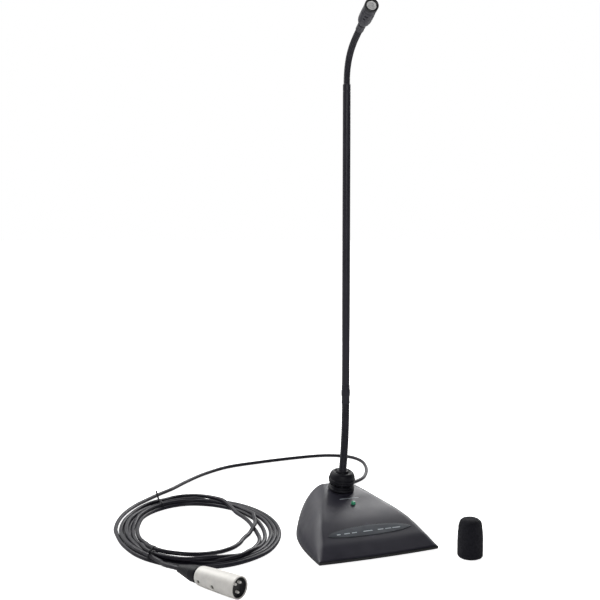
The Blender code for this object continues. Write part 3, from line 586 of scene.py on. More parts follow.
SATIN = {"Specular_IOR_Level": 0.25}
GLOSSIER = {"Specular_IOR_Level": 0.45}
DULLER = {"Specular_IOR_Level": 0.22}
PAINT = worn_with_edge_highlight("charcoal_paint", (0.027, 0.026, 0.039), 0.44, tone=0.10, grain=3200.0, depth=0.010, **GLOSSIER)
BLACK_STEEL = worn_with_edge_highlight("black_steel_plate", (0.018, 0.018, 0.020), 0.5, 0.2)
RUBBER = worn_with_edge_highlight("black_rubber", (0.009, 0.009, 0.013), 0.46, tone=0.25, grain=2600.0, depth=0.03, **DULLER)
PAD = worn_with_edge_highlight("foot_pad_rubber", (0.030, 0.030, 0.032), 0.85, tone=0.3, grain=900.0, depth=0.12)
NECK = worn_with_edge_highlight("neck_enamel", (0.029, 0.028, 0.038), 0.4, tone=0.12, blotch=45.0, depth=0.008, **SATIN)
HOSE = worn_with_edge_highlight("wound_hose_black", (0.023, 0.022, 0.030), 0.42, tone=0.2, blotch=140.0, depth=0.012, **SATIN)
HEAD = worn_with_edge_highlight("head_enamel", (0.033, 0.032, 0.043), 0.4, tone=0.12, depth=0.006, **SATIN)
KEY = worn_with_edge_highlight("key_membrane", (0.060, 0.070, 0.085), 0.38, tone=0.12, blotch=120.0, depth=0.006)
KEY_RIM = worn_with_edge_highlight("key_rim", (0.016, 0.020, 0.025), 0.4, tone=0.15)
PRINT = worn_with_edge_highlight("pale_print", (0.42, 0.47, 0.52), 0.5, tone=0.1, depth=0.004)
DARK_PLASTIC = worn_with_edge_highlight("dark_moulding", (0.022, 0.022, 0.024), 0.5)
WHITE_PLASTIC = worn_with_edge_highlight("white_moulding", (0.62, 0.61, 0.57), 0.45, tone=0.06)
FOAM = foam_material()
NICKEL = metal("satin_nickel", (0.81, 0.79, 0.755), 0.55, metallic=0.35)
BRIGHT_PIN = worn_with_edge_highlight("bright_pin", (0.92, 0.90, 0.86), 0.3, tone=0.04, depth=0.001)
ZINC = metal("zinc_plate", (0.52, 0.52, 0.54), 0.34)
DARK_SCREW = metal("dark_screw", (0.20, 0.19, 0.18), 0.35)
BRASS = metal("turned_brass", (0.66, 0.48, 0.22), 0.30)
GRILLE = worn_with_edge_highlight("silver_grille", (0.82, 0.82, 0.81), 0.42, tone=0.05, depth=0.002)
JACKET = jacket_material()
LENS = glow_material()
BOARD = board_material()


# ---------------- camera


def make_camera():
    data = bpy.data.cameras.new("camera")
    data.lens = FOCAL_LENGTH
    data.sensor_width = SENSOR
    camera = bpy.data.objects.new("camera", data)
    bpy.context.scene.collection.objects.link(camera)
    camera.location = EYE
    camera.rotation_euler = Vector(LOOK).to_track_quat("-Z", "Y").to_euler()
    bpy.context.scene.camera = camera


# ---------------- lead, coil and ties


def coil_middle():
    low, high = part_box("cable_coil")
    return (low + high) / 2 / MM


def coil_point(degrees, inset, height):
    """A point inset from the coil's outer line, in millimetres."""
    angle = math.radians(degrees)
    outer = Vector((COIL_HALF_SIZE[0] * math.cos(angle), COIL_HALF_SIZE[1] * math.sin(angle), 0))
    place = Matrix.Rotation(COIL_TURN, 3, "Z") @ (outer - outer.normalized() * inset)
    middle = coil_middle()
    return (middle.x + place.x, middle.y + place.y, height)


def strand_at(degrees, table):
    """A strand's inset or height at an angle counted on through all the turns."""
    turn = int((degrees - TIE_BACK) // 360)
    stations = list(zip(STRAND_ANGLES, table[turn]))
    if turn + 1 < len(table):
        stations.append((TIE_BACK + 360, table[turn + 1][0]))
    return eased(stations, degrees - 360 * turn)


def cord_route():
    """The whole lead as one line: gland to coil, the turns, and out to the plug."""
    end = TIE_FRONT + 360 * (len(STRAND_INSETS) - 1) - 8
    turns = [
        coil_point(degrees, strand_at(degrees, STRAND_INSETS), strand_at(degrees, STRAND_HEIGHTS))
        for degrees in np.arange(COIL_START, end, 9.0)
    ]
    lead = [tuple(np.array(point) / MM) for point in LEAD_ROUTE]
    tail = [tuple(np.array(point) / MM) for point in TAIL_ROUTE]
    return evenly(smooth_through([*lead, *turns, *tail]), 2.0)


def settled(path, first_loose, last_loose):
    """Lets the turns sink to the desk, and pushes strands that touch a diameter apart."""
    points = path.copy()
    loose = np.arange(first_loose, last_loose)
    floor = CORD_DIAMETER / 2 + 0.1
    apart = CORD_DIAMETER * 1.02
    for _ in range(SETTLE_ROUNDS):
        points[loose, 2] -= SINK
        tree = KDTree(len(points))
        for index, point in enumerate(points):
            tree.insert(point, index)
        tree.balance()
        push = np.zeros_like(points)
        for index in loose:
            for place, other, distance in tree.find_range(points[index], apart):
                if abs(other - index) > NEIGHBOURS:
                    away = points[index] - np.array(place)
                    push[index] += away / max(distance, 0.01) * (apart - distance) * PUSH_SHARE
        size = np.linalg.norm(push, axis=1)[:, None]
        points += push * np.minimum(1.0, LARGEST_PUSH / np.maximum(size, 1e-9))
        moved = points - path
        curl = moved[:-2] + moved[2:] - 2 * moved[1:-1]
        inner = loose[(loose > 0) & (loose < len(points) - 1)]
        points[inner] += CURL_SHARE * curl[inner - 1]
        points[loose, 2] = np.maximum(points[loose, 2], floor)
    return points


def section_at(path, degrees):
    """Where strands cross the upright plane at an angle of the coil, as (distance out, height)."""
    middle = np.array(coil_middle())
    out = np.array(coil_point(degrees, 0.0, middle[2])) - middle
    reach = np.linalg.norm(out)
    out = out / reach
    across = np.array((-out[1], out[0], 0.0))
    offset = path - middle
    beside = offset @ across
    found = []
    for i in np.flatnonzero((beside[:-1] < 0) != (beside[1:] < 0)):
        share = beside[i] / (beside[i] - beside[i + 1])
        place = offset[i] + (offset[i + 1] - offset[i]) * share
        distance = place @ out
        if reach - TIE_INNER_REACH < distance < reach + TIE_OUTER_REACH:
            found.append((distance, place[2] + middle[2]))
    return np.array(found), middle, out, across


def turns_right(first, second, third):
    return np.cross(np.subtract(second, first), np.subtract(third, first)) <= 0


def hull(points):
    """Convex outline of flat points, anticlockwise."""
    order = sorted(map(tuple, points))

    def half(sequence):
        made = []
        for point in sequence:
            while len(made) > 1 and turns_right(made[-2], made[-1], point):
                made.pop()
            made.append(point)
        return made[:-1]

    return np.array(half(order) + half(order[::-1]))


def make_tie(name, path, degrees):
    """A flat twist tie drawn round the bundle, with its two ends twisted together."""
    strands, middle, out, across = section_at(path, degrees)
    turn = np.linspace(0, 2 * math.pi, 24, endpoint=False)
    reach = CORD_DIAMETER / 2 + TIE_GAP
    circles = [(x + reach * np.cos(turn), np.maximum(z + reach * np.sin(turn), 0.45)) for x, z in strands]
    outline = hull(np.concatenate(circles, axis=1).T)
    closed = np.vstack([outline, outline[:1]])
    flat = np.column_stack([closed, np.zeros(len(closed))])
    even = evenly(flat, 1.2)[:-1]
    for _ in range(3):
        even = (np.roll(even, 1, axis=0) + 2 * even + np.roll(even, -1, axis=0)) / 4
    base = np.array((middle[0], middle[1], 0.0))
    loop = base + even[:, :1] * out + even[:, 1:2] * np.array((0.0, 0.0, 1.0))
    around = np.roll(loop, -1, axis=0) - np.roll(loop, 1, axis=0)
    around = around / np.linalg.norm(around, axis=1)[:, None]
    outward = np.cross(around, across)
    angles = np.linspace(0, 2 * math.pi, 12, endpoint=False)
    thick = outward[:, None, :] * TIE_HALF_THICKNESS * np.cos(angles)[None, :, None]
    wide = across * TIE_HALF_WIDTH * np.sin(angles)[None, :, None]
    parts = [rings_mesh("band", loop[:, None, :] + (thick + wide), loop=True)]
    start = loop[np.argmax(loop @ out + 1.2 * loop[:, 2])]
    rise = np.linspace(0.0, 1.0, 40)[:, None]
    spine = start + np.array((0, 0, 1.0)) * TIE_TAILS[degrees] * rise
    spine = spine + out * 2.4 * np.sin(rise * 2.2) + across * 1.6 * rise**2
    for phase in (0.0, math.pi):
        swing = rise * 5.5 * math.pi + phase
        strand = spine + 0.5 * (across * np.cos(swing) + out * np.sin(swing))
        parts.append(swept("end", strand, np.linspace(0.55, 0.42, 40), 10))
    return join(name, parts)


def make_cord():
    route = cord_route()
    lengths = arc_lengths(route)
    start = int(np.argmin(np.linalg.norm(route - np.array(LEAD_ROUTE[-4]) / MM, axis=1)))
    end = int(np.searchsorted(lengths, lengths[-1] - TAIL_HELD))
    path = settled(route, start, end)
    path = evenly(path, 2.2)
    cord = swept("lead_cable", path, CORD_DIAMETER / 2, 16)
    piece(cord, JACKET, "base", "cable_lead", "cable_coil", "plug_lead")
    ties = []
    for number, degrees in enumerate(TIE_TAILS, 1):
        tie = make_tie(f"twist_tie_{number}", path, degrees)
        ties.append(piece(tie, RUBBER, "base", f"cable_tie_{number}"))
    return cord, path, ties


# ---------------- plug


def recessed_screw(name, radius, depth, matrix):
    """A screw head seen at the bottom of its hole, with a cross recess; local z points out of the hole."""
    low = depth - 1.2
    head = ((0, low), (radius, low), (radius, depth - 0.2), (radius * 0.6, depth), (0, depth))
    screw = turned(name, head, 0.15, matrix, 32)
    width = radius * 1.3
    slit = radius * 0.28
    slits = ((width, slit, 1.0), (slit, width, 1.0))
    return carve(screw, [box_cutter(size, (0, 0, depth + 0.1), matrix) for size in slits])


def make_barrel(place, screw_frames):
    """The shell, tapered behind, with its open nose, the screws' holes and the keyway."""
    length = PLUG_LENGTH
    profile = (
        (0, 21.7), (8.3, 21.7), (8.3, length - 0.6), (8.6, length), (9.2, length), (9.5, length - 0.5),
        (9.5, length - 11.0), (9.42, length - 11.2), (9.45, length - 11.4), (8.9, 18.0), (8.3, 6.4),
        (7.7, 4.4), (6.9, 3.6), (0, 3.6),
    )
    shell = turned("plug_barrel", profile, 0.35, place, 128)
    holes = zip(PLUG_SCREWS, screw_frames)
    carve(shell, [cylinder_cutter(1.75, depth - 0.9, 12.0, frame_, steps=40) for (_, depth), frame_ in holes])
    return carve(shell, [box_cutter((1.6, 1.0, 14.0), (0.0, 8.1, length - 6.9), place)])


def make_pins(place):
    pins = []
    profile = ((0, 31.3), (1.2, 31.3), (1.2, 47.8), (0.8, 48.7), (0.0, 49.0))
    for number, angle in enumerate(PIN_ANGLES, 1):
        offset = Vector((math.cos(angle), math.sin(angle), 0)) * PIN_CIRCLE * MM
        pin = turned(f"contact_pin_{number}", profile, 0.6, place @ Matrix.Translation(offset), 40)
        pins.append(piece(pin, BRIGHT_PIN, "base", f"plug_pin_{number}"))
    return pins


def make_boot(place):
    """The ribbed rubber sleeve behind the barrel."""
    profile = [(0, 3.4), (6.9, 3.4), (7.2, 1.6), (7.0, -4.6)]
    for rib in range(6):
        low = -5.6 - 2.1 * rib
        radius = 6.75 - 0.46 * rib
        profile += [(radius, low), (radius - 0.18, low - 0.25), (radius - 0.22, low - 0.75)]
    profile += [(3.6, -19.6), (3.1, -22.0), (0, -22.0)]
    return piece(turned("plug_sleeve", profile, 0.3, place, 80, arc=2), RUBBER, "base", "plug_boot")


def make_plug():
    """Barrel, clamp screws, insulator with a dark sleeve lining the barrel's mouth as painted shade, three
    pins and boot.
    """
    back = Vector(PLUG_BACK)
    along = (Vector(PLUG_FRONT) - back).normalized()
    place = along_axis(back, along)
    sideways = Vector((along.y, -along.x, 0))
    outward = sideways * math.cos(PLUG_SCREW_DIP) - Vector((0, 0, math.sin(PLUG_SCREW_DIP)))
    screw_frames = [along_axis(back + along * spot, outward) for spot, _ in PLUG_SCREWS]
    made = [piece(make_barrel(place, screw_frames), NICKEL, "base", "plug_shell")]
    for number, (matrix, (_, depth)) in enumerate(zip(screw_frames, PLUG_SCREWS), 1):
        screw = recessed_screw(f"barrel_screw_{number}", 1.42, depth, matrix)
        made.append(piece(screw, DARK_SCREW, "base", f"plug_screw_{number}"))
    # The insulator's dark sleeve runs up the barrel's inner wall to its rim: a dark liner that stands in for
    # the shade inside the mouth.
    rim = PLUG_LENGTH - 0.9
    face = ((0, 22.0), (8.1, 22.0), (8.15, rim), (7.8, rim), (7.7, 45.6), (0, 45.6))
    made.append(piece(turned("pin_insulator_and_shade_liner", face, 0.15, place, 72), DARK_PLASTIC, "base", "plug_insert"))
    pins = make_pins(place)
    return [*made, make_boot(place), *pins]


# ---------------- desk base


def half_width(along):
    share = min(max(along / BASE_DEPTH, 0.0), 1.0)
    return BASE_HALF_WIDTH * max(1 - share**BASE_OUTLINE_POWER, 0.0) ** 0.5


def front_bow(x, along):
    """How far the gently curved front edge stands ahead of its corners."""
    return BASE_FRONT_BOW * (1 - (x / BASE_HALF_WIDTH) ** 2) * min(max(1 - along / 40, 0.0), 1.0)


def crown_at(along):
    if along >= CREASE_ALONG:
        return eased(CROWN_HEIGHTS, along)
    straight = EDGE_Z + (CROWN_HEIGHTS[0][1] - EDGE_Z) * along / CREASE_ALONG
    return straight + LIP_RISE * min(along / 0.7, 1.0) * (1 - along / CREASE_ALONG)


def crown_height(along):
    """The roof's height on the middle line, with the front crease eased over a few millimetres."""
    if along < 3 or along > 60:
        return crown_at(along)
    return sum(crown_at(along + step) for step in (-1.2, -0.6, 0.0, 0.6, 1.2)) / 5


def housing_point(along, across):
    """A point on the outer skin; across runs from -1 on the left edge to 1 on the right edge."""
    width = half_width(along)
    crown = min(eased(CROWN_HALF_WIDTHS, along), 0.92 * width)
    height = crown_height(along)
    share = abs(across)
    if share < 0.4:
        x = crown * share / 0.4
        z = height
    else:
        drop = (share - 0.4) / 0.6
        roundness = eased(SIDE_ROUNDNESS, along)
        x = crown + (width - crown) * drop
        z = EDGE_Z + (height - EDGE_Z) * max(1 - drop**roundness, 0.0) ** (1 / roundness)
    x = math.copysign(x, across)
    return (x, BASE_FRONT_Y + along - front_bow(x, along), z)


def roof_height(x, y):
    """Height of the nearly flat roof over a point near the key or the light."""
    along = y - BASE_FRONT_Y
    for _ in range(4):
        along = y - BASE_FRONT_Y + front_bow(x, along)
    return crown_height(along)


def housing_block(rows, columns, soften):
    """Closed solid under the skin, with its lower face on the desk."""
    front = [0.0, 0.35, 0.7, 1.2, 2.0, 3.2]
    last = BASE_DEPTH - REAR_BLUNT
    alongs = front + [last - (last - front[-1]) * (1 - i / rows) ** 1.5 for i in range(1, rows + 1)]
    shares = np.linspace(-1.0, 1.0, columns + 1)
    skin = np.array([[housing_point(along, share) for share in shares] for along in alongs])
    for _ in range(soften):
        middle = skin[1:-1, 1:-1]
        middle += 0.22 * (skin[1:-1, :-2] + skin[1:-1, 2:] - 2 * middle)
    floor = skin[:, ::-1].copy()
    floor[..., 2] = 0.0
    return rings_mesh("housing_skin", np.concatenate([skin, floor], axis=1))


def make_housing():
    """The moulded cover: skin, hollow, seat for the neck, key window and light hole."""
    mount = tilted_forward(SEAT_CENTRE, MOUNT_TILT)
    cover = housing_block(88, 96, 4)
    carve(cover, [cylinder_cutter(13.0, -8.0, 0.0, mount, steps=96)], "UNION")
    hollow = housing_block(30, 36, 0)
    shrink = Matrix.Diagonal(
        (
            (BASE_HALF_WIDTH - WALL) / BASE_HALF_WIDTH,
            (BASE_DEPTH - 2 * WALL) / BASE_DEPTH,
            (crown_height(90) - WALL) / crown_height(90),
            1.0,
        )
    )
    middle = Matrix.Translation((0, (BASE_FRONT_Y + BASE_DEPTH / 2) * MM, 0))
    hollow.data.transform(middle @ shrink @ middle.inverted())
    bosses = [cylinder_cutter(4.0, -5, 60, centre=spot, steps=32) for spot in PLATE_SCREWS]
    carve(hollow, bosses)
    carve(hollow, [cylinder_cutter(10.2, -18.0, -2.0, mount)], "UNION")
    carve(hollow, [cylinder_cutter(11.0, -3.0, 14.0, mount)])
    gland_axis = along_axis((0, 0, GLAND_Z), (0, 1, 0))
    window = key_solid("window", 0.35, -6.0, 4.0, 96)
    light_axis = tilted_forward(LIGHT_CENTRE, LIGHT_TILT)
    carve(cover, [hollow, box_cutter((200, 200, 20), (0, 0, SKIRT_Z - 10)), window])
    carve(
        cover,
        [
            cylinder_cutter(5.6, -12, 6, mount),
            cylinder_cutter(2.1, -8, 4, light_axis, steps=48),
            cylinder_cutter(4.2, 50, 80, gland_axis),
            *[cylinder_cutter(1.7, -2, 11.5, centre=spot, steps=24) for spot in PLATE_SCREWS],
        ],
    )
    piece(cover, PAINT, "base", "housing_shell")


def plan_outline(inset):
    """The base's outline in plan, in millimetres, pulled in by the inset."""
    reach = BASE_DEPTH - inset
    right = []
    for i in range(PLAN_STEPS + 1):
        along = inset + (reach - inset) * math.sin(math.pi / 2 * i / PLAN_STEPS)
        share = (along - inset) / (reach - inset)
        width = (BASE_HALF_WIDTH - inset) * (1 - share**BASE_OUTLINE_POWER) ** 0.5
        right.append((width, BASE_FRONT_Y + along - front_bow(width, along)))
    left = [(-x, y) for x, y in reversed(right[:-1])]
    reach = 0.94 * (BASE_HALF_WIDTH - inset)
    front = [(x, BASE_FRONT_Y + inset - front_bow(x, inset)) for x in np.linspace(-reach, reach, 33)]
    return np.array(right + left + front)


def slab(name, inset, bottom, top, edge):
    """A flat plate on the base's outline with softly rounded edges."""
    levels = []
    for i in range(5):
        turn = math.pi / 2 * i / 4
        levels.append((inset + edge * (1 - math.sin(turn)), bottom + edge * (1 - math.cos(turn))))
    levels += [(pulled, top - (height - bottom)) for pulled, height in reversed(levels)]
    rings = [[(x, y, height) for x, y in plan_outline(pulled)] for pulled, height in levels]
    return rings_mesh(name, np.array(rings))


def make_underside():
    plate = slab("under_plate", 0.0, 1.3, 4.0, 0.45)
    pad = slab("foot_pad", 4.0, 0.0, 1.0, 0.3)
    cutters = []
    for spot in PLATE_SCREWS:
        cutters.append(cylinder_cutter(1.8, 0, 8, centre=spot, steps=32))
        cutters.append(cylinder_cutter(3.2, 0, 2.9, centre=spot, steps=40))
    carve(plate, cutters)
    carve(pad, [cylinder_cutter(4.2, -2, 4, centre=spot, steps=48) for spot in PLATE_SCREWS])
    piece(plate, BLACK_STEEL, "base", "base_plate")
    piece(pad, PAD, "base", "rubber_foot_pad")
    profile = ((0, 11), (1.35, 11), (1.35, 2.6), (2.8, 2.6), (2.8, 1.7), (2.3, 1.35), (0, 1.3))
    for number, (x, y) in enumerate(PLATE_SCREWS, 1):
        place = Matrix.Translation((x * MM, y * MM, 0))
        screw = turned(f"cover_screw_{number}", profile, 0.15, place, 40)
        blades = [box_cutter(size, (0, 0, 1.5), place) for size in ((3.0, 0.6, 1.4), (0.6, 3.0, 1.4))]
        piece(carve(screw, blades), ZINC, "base", f"plate_screw_{number}")


# ---------------- mute key and status light


def lens_outline(grow=0.0, count=48):
    """The key's outline about its own centre, in its own tilted plane: two arcs that meet in rounded tips."""
    reach = KEY_HALF_WIDTH + grow
    turns = np.linspace(0, math.pi, count, endpoint=False)
    back = [(reach * math.cos(a), (KEY_BACK_RISE + grow) * math.sin(a) ** KEY_POINTEDNESS) for a in turns]
    front = [(-reach * math.cos(a), -(KEY_FRONT_DROP + grow) * math.sin(a) ** KEY_POINTEDNESS) for a in turns]
    return np.array(back + front)


def on_roof(x, up_slope, proud):
    """World point, in millimetres, over a point of the key's plane, standing proud of the roof."""
    y = KEY_CENTRE[1] + up_slope * math.cos(KEY_TILT)
    return (x, y - proud * math.sin(KEY_TILT), roof_height(x, y) + proud * math.cos(KEY_TILT))


def key_solid(name, grow, bottom, top, count):
    """A lens-shaped solid through the roof between two heights above it."""
    outline = lens_outline(grow, count // 2)
    rings = [[on_roof(x, y, height) for x, y in outline] for height in (bottom, top)]
    return rings_mesh(name, np.array(rings))


def make_key():
    """The pressed membrane with its printed marks and stem, and the fixed rim round it."""
    outline = lens_outline(0.0, 60)
    levels = [(0.0, -1.6), (0.96, -1.6), (1.0, -1.5), (1.0, 0.05), (0.997, 0.2), (0.988, 0.28), (0.965, 0.31)]
    levels += [(share, 0.32) for share in (0.8, 0.55, 0.3, 0.12, 0.0)]
    rings = [[on_roof(x * share, y * share, height) for x, y in outline] for share, height in levels]
    piece(rings_mesh("key_membrane", np.array(rings)), KEY, "mute_key", "mute_key")
    post = ((0, -4.6), (1.8, -4.6), (1.8, -1.5), (0, -1.5))
    piece(turned("key_stem", post, 0.2, tilted_forward(KEY_CENTRE, KEY_TILT), 32), WHITE_PLASTIC, "mute_key")
    rim = np.array([on_roof(x, y, 0.02) for x, y in lens_outline(0.15, 80)])
    piece(swept("key_surround", rim, 0.34, 10, loop=True), KEY_RIM, "base")
    marks = [bar_on_roof(left, right, 0.1, 0.33) for left, right in KEY_DASHES]
    piece(join("key_marks", marks), PRINT, "mute_key")


def bar_on_roof(left, right, up_slope, proud):
    """A thin printed bar with rounded ends that follows the roof."""
    half = PRINT_HALF_HEIGHT
    spine = np.linspace(left + half, right - half, 12)
    ends = np.linspace(-math.pi / 2, math.pi / 2, 9)
    outline = [(spine[-1] + half * math.cos(a), half * math.sin(a)) for a in ends]
    outline += [(x, half) for x in spine[-2:0:-1]]
    outline += [(spine[0] - half * math.cos(a), -half * math.sin(a)) for a in ends]
    outline += [(x, -half) for x in spine[1:-1]]
    rings = [[on_roof(x, up_slope + y, proud + rise) for x, y in outline] for rise in (-0.06, 0.05)]
    return rings_mesh("bar", np.array(rings))


def make_light_and_line():
    place = tilted_forward(LIGHT_CENTRE, LIGHT_TILT)
    dome = ((0, -7.0), (1.8, -7.0), (1.8, 0.35), (2.2, 0.4), (2.2, 1.6), (1.5, 2.8), (0, 3.2))
    piece(turned("light_lens", dome, 0.5, place, 64), LENS, "base", "indicator_lens")
    ring = ((2.0, 0.25), (2.35, 0.3), (2.5, -0.1), (2.45, -0.8), (2.15, -0.8))
    piece(turned("light_bezel", ring, 0.1, place, 64, closed=True), KEY_RIM, "base")
    piece(join("pale_line", [bar_on_roof(*LINE_ENDS, LINE_UP_SLOPE, 0.0)]), PRINT, "base")


# ---------------- cable gland and shock mount


def make_gland():
    back = BASE_FRONT_Y + BASE_DEPTH
    profile = [(0, back - 6.6), (4.8, back - 6.6), (4.8, back - 4.6), (3.8, back - 4.6), (3.8, back + 0.5)]
    profile += [(5.4, back + 0.5), (5.4, back + 2.4), (4.4, back + 3.6)]
    for rib in range(7):
        y = back + 4.2 + rib * 2.45
        radius = 4.25 - 0.19 * rib
        profile += [(radius, y), (radius, y + 1.35), (radius - 0.75, y + 1.55), (radius - 0.75, y + 2.25)]
    profile += [(2.9, GLAND_TIP_Y - 0.8), (2.6, GLAND_TIP_Y), (0, GLAND_TIP_Y)]
    gland = turned("strain_relief", profile, 0.2, along_axis((0, 0, GLAND_Z), (0, 1, 0)), 64, arc=2)
    piece(gland, RUBBER, "base", "cable_gland")


def make_mount():
    """Rubber isolator: a flanged foot, a dark groove with short posts, and a ribbed dome round the neck."""
    place = tilted_forward(SEAT_CENTRE, MOUNT_TILT)
    foot = (
        (5.0, 6.2), (11.4, 6.2), (12.3, 5.5), (12.35, 4.6), (11.6, 4.0), (12.7, 3.3), (13.0, 1.6),
        (12.4, 0.3), (5.0, 0.3),
    )
    piece(turned("mount_foot", foot, 0.45, place, 128, closed=True), RUBBER, "base", "shock_mount_flange")
    dome = (
        (4.3, 20.6), (5.3, 20.6), (6.0, 19.8), (6.4, 18.0), (7.2, 17.9), (8.2, 19.0), (9.4, 19.1),
        (10.9, 18.0), (12.1, 16.0), (12.75, 13.6), (12.3, 12.9), (13.2, 12.2), (13.4, 10.9), (12.4, 10.2),
        (13.1, 9.5), (12.9, 8.5), (10.6, 8.0), (10.6, 6.5), (5.0, 6.5), (5.0, 16.4), (4.3, 17.0),
    )
    dome = turned("mount_dome", dome, 0.5, place, 128, closed=True)
    posts = []
    for number in range(8):
        angle = 2 * math.pi * (number + 0.5) / 8
        spot = place @ Matrix.Translation((11.4 * MM * math.cos(angle), 11.4 * MM * math.sin(angle), 0))
        posts.append(lathe("post", ((0, 5.9), (0.9, 5.9), (0.65, 7.2), (0.9, 8.5), (0, 8.5)), spot, 20))
    piece(join("mount_posts", posts), RUBBER, "base")
    piece(dome, RUBBER, "base", "shock_mount_boot")


# ---------------- gooseneck


def lower_path():
    return bezier(LOWER_START, LOWER_HANDLES, LOWER_END)


def bend_plane_point(reach, height):
    """A point in the upright plane in which the upper hose bends forward."""
    return (-math.sin(UPPER_HEADING) * reach, TUBE_Y - math.cos(UPPER_HEADING) * reach, height)


def upper_path():
    points = [bend_plane_point(*pair) for pair in ((0.0, TUBE_TOP), *UPPER_HANDLES, UPPER_END)]
    return bezier(points[0], points[1:3], points[3])


def hinge_distances(path):
    return np.linspace(END_MARGIN, arc_lengths(path)[-1] - END_MARGIN, HINGES_PER_FLEX)


def make_hose(side, path, radius, pitch, start, end_margin):
    """A wound hose in lengths that each span one joint and meet in the middle of a link."""
    hinges = hinge_distances(path)
    middles = (hinges[1:] + hinges[:-1]) / 2
    edges = [start, *middles, arc_lengths(path)[-1] + end_margin]
    sides = 36
    for number, (hinge, low, high) in enumerate(zip(hinges, edges, edges[1:]), 1):
        count = int(round((high - low) / pitch * 9)) + 1
        distances = np.linspace(low, high, count)
        angles = np.arange(sides) / sides
        wave = 0.5 + 0.5 * np.cos(2 * math.pi * (distances[:, None] / pitch - angles[None, :]))
        radii = radius - 0.13 * pitch * 2 * (1 - wave**0.55)
        hose = swept(f"{side}_hose_{number}", at_lengths(path, distances), radii, sides)
        dress(hose, HOSE)
        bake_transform(hose)
        if number < len(hinges):
            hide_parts(f"{side}_flex_{number}")


def make_neck():
    lower = lower_path()
    upper = upper_path()
    make_hose("lower", lower, LOWER_RADIUS, 1.7, -4.0, 0.4)
    make_hose("upper", upper, UPPER_RADIUS, 1.25, -0.3, 0.3)
    stem = Matrix.Translation((0, TUBE_Y * MM, 0))
    coupler = (
        (0, 129.4), (3.6, 129.4), (4.15, 130.0), (4.15, 131.2), (3.95, 131.6), (3.95, 136.4), (4.3, 137.3),
        (4.35, 140.0), (4.3, 142.7), (3.95, 143.5), (3.95, 146.8), (3.8, COUPLER_TOP - 0.1),
        (0, COUPLER_TOP - 0.1),
    )
    piece(turned("neck_coupler", coupler, 0.35, stem, 72), NECK, "stem", "coupler")
    tube = (
        (0, COUPLER_TOP - 0.05), (3.55, COUPLER_TOP - 0.05), (TUBE_RADIUS, COUPLER_TOP + 0.4),
        (TUBE_RADIUS, 260), (TUBE_RADIUS, 430.5),
        (3.62, 430.8), (3.62, 431.4), (TUBE_RADIUS, 431.7), (TUBE_RADIUS, TUBE_TOP - 0.6),
        (3.3, TUBE_TOP - 0.1), (0, TUBE_TOP - 0.1),
    )
    piece(turned("neck_tube", tube, 0.2, stem, 72), NECK, "stem", "rigid_tube")
    last = hinge_distances(upper)[-1]
    origin, below, above = at_lengths(upper, last + np.array((0.6, -0.5, 0.5)))
    make_head(along_axis(origin, above - below))


def make_bell(place):
    """The capsule housing, with slots round its front and a small hole in its side."""
    profile = (
        (0, 13.3), (3.35, 13.3), (3.6, 13.8), (3.7, 14.6), (4.6, 15.9), (5.5, 18.5), (6.0, 22.0),
        (6.15, 27.0), (6.1, 34.0), (5.95, 41.2), (5.7, 41.5), (5.7, 42.2), (6.05, 42.5), (6.05, 45.6),
        (5.9, 46.0), (4.9, 46.0), (4.9, 24.0), (0, 24.0),
    )
    bell = turned("capsule_bell", profile, 0.4, place, 96)
    cutters = []
    for number in range(6):
        turn = place @ Matrix.Rotation(2 * math.pi * (number + 0.12) / 6, 4, "Z")
        cutters.append(box_cutter((2.4, 3.4, 1.5), (5.8, 0, 36.2), turn))
    centre = place @ Vector((0, 0, 31.6 * MM)) / MM
    side = along_axis(centre, place.to_3x3() @ Vector((-0.55, -0.84, 0)))
    cutters.append(cylinder_cutter(1.0, 5.2, 8.0, side, steps=32))
    piece(carve(bell, cutters), HEAD, "head", "capsule_housing")


def make_head(place):
    """Ferrule, bell-shaped capsule housing, front ring and perforated grille; local z runs to the front."""
    ferrule = (
        (0, 0.4), (3.3, 0.4), (3.75, 1.0), (3.75, 2.2), (3.55, 2.5), (3.55, 3.3), (3.75, 3.6), (3.75, 12.3),
        (3.3, 13.0), (0, 13.0),
    )
    piece(turned("neck_ferrule", ferrule, 0.25, place, 72), NECK, "head", "head_ferrule")
    make_bell(place)
    body = ((0, 24.3), (4.6, 24.3), (4.6, 44.2), (0, 44.2))
    piece(turned("capsule_body", body, 0.3, place, 64), BRASS, "head", "capsule_element")
    ring = ((4.4, 46.3), (6.0, 46.25), (6.12, 46.8), (6.12, 47.9), (5.8, 48.4), (4.7, 48.4), (4.4, 48.0))
    piece(turned("front_ring", ring, 0.25, place, 96, closed=True), BLACK_STEEL, "head", "capsule_ring")
    make_grille(place)


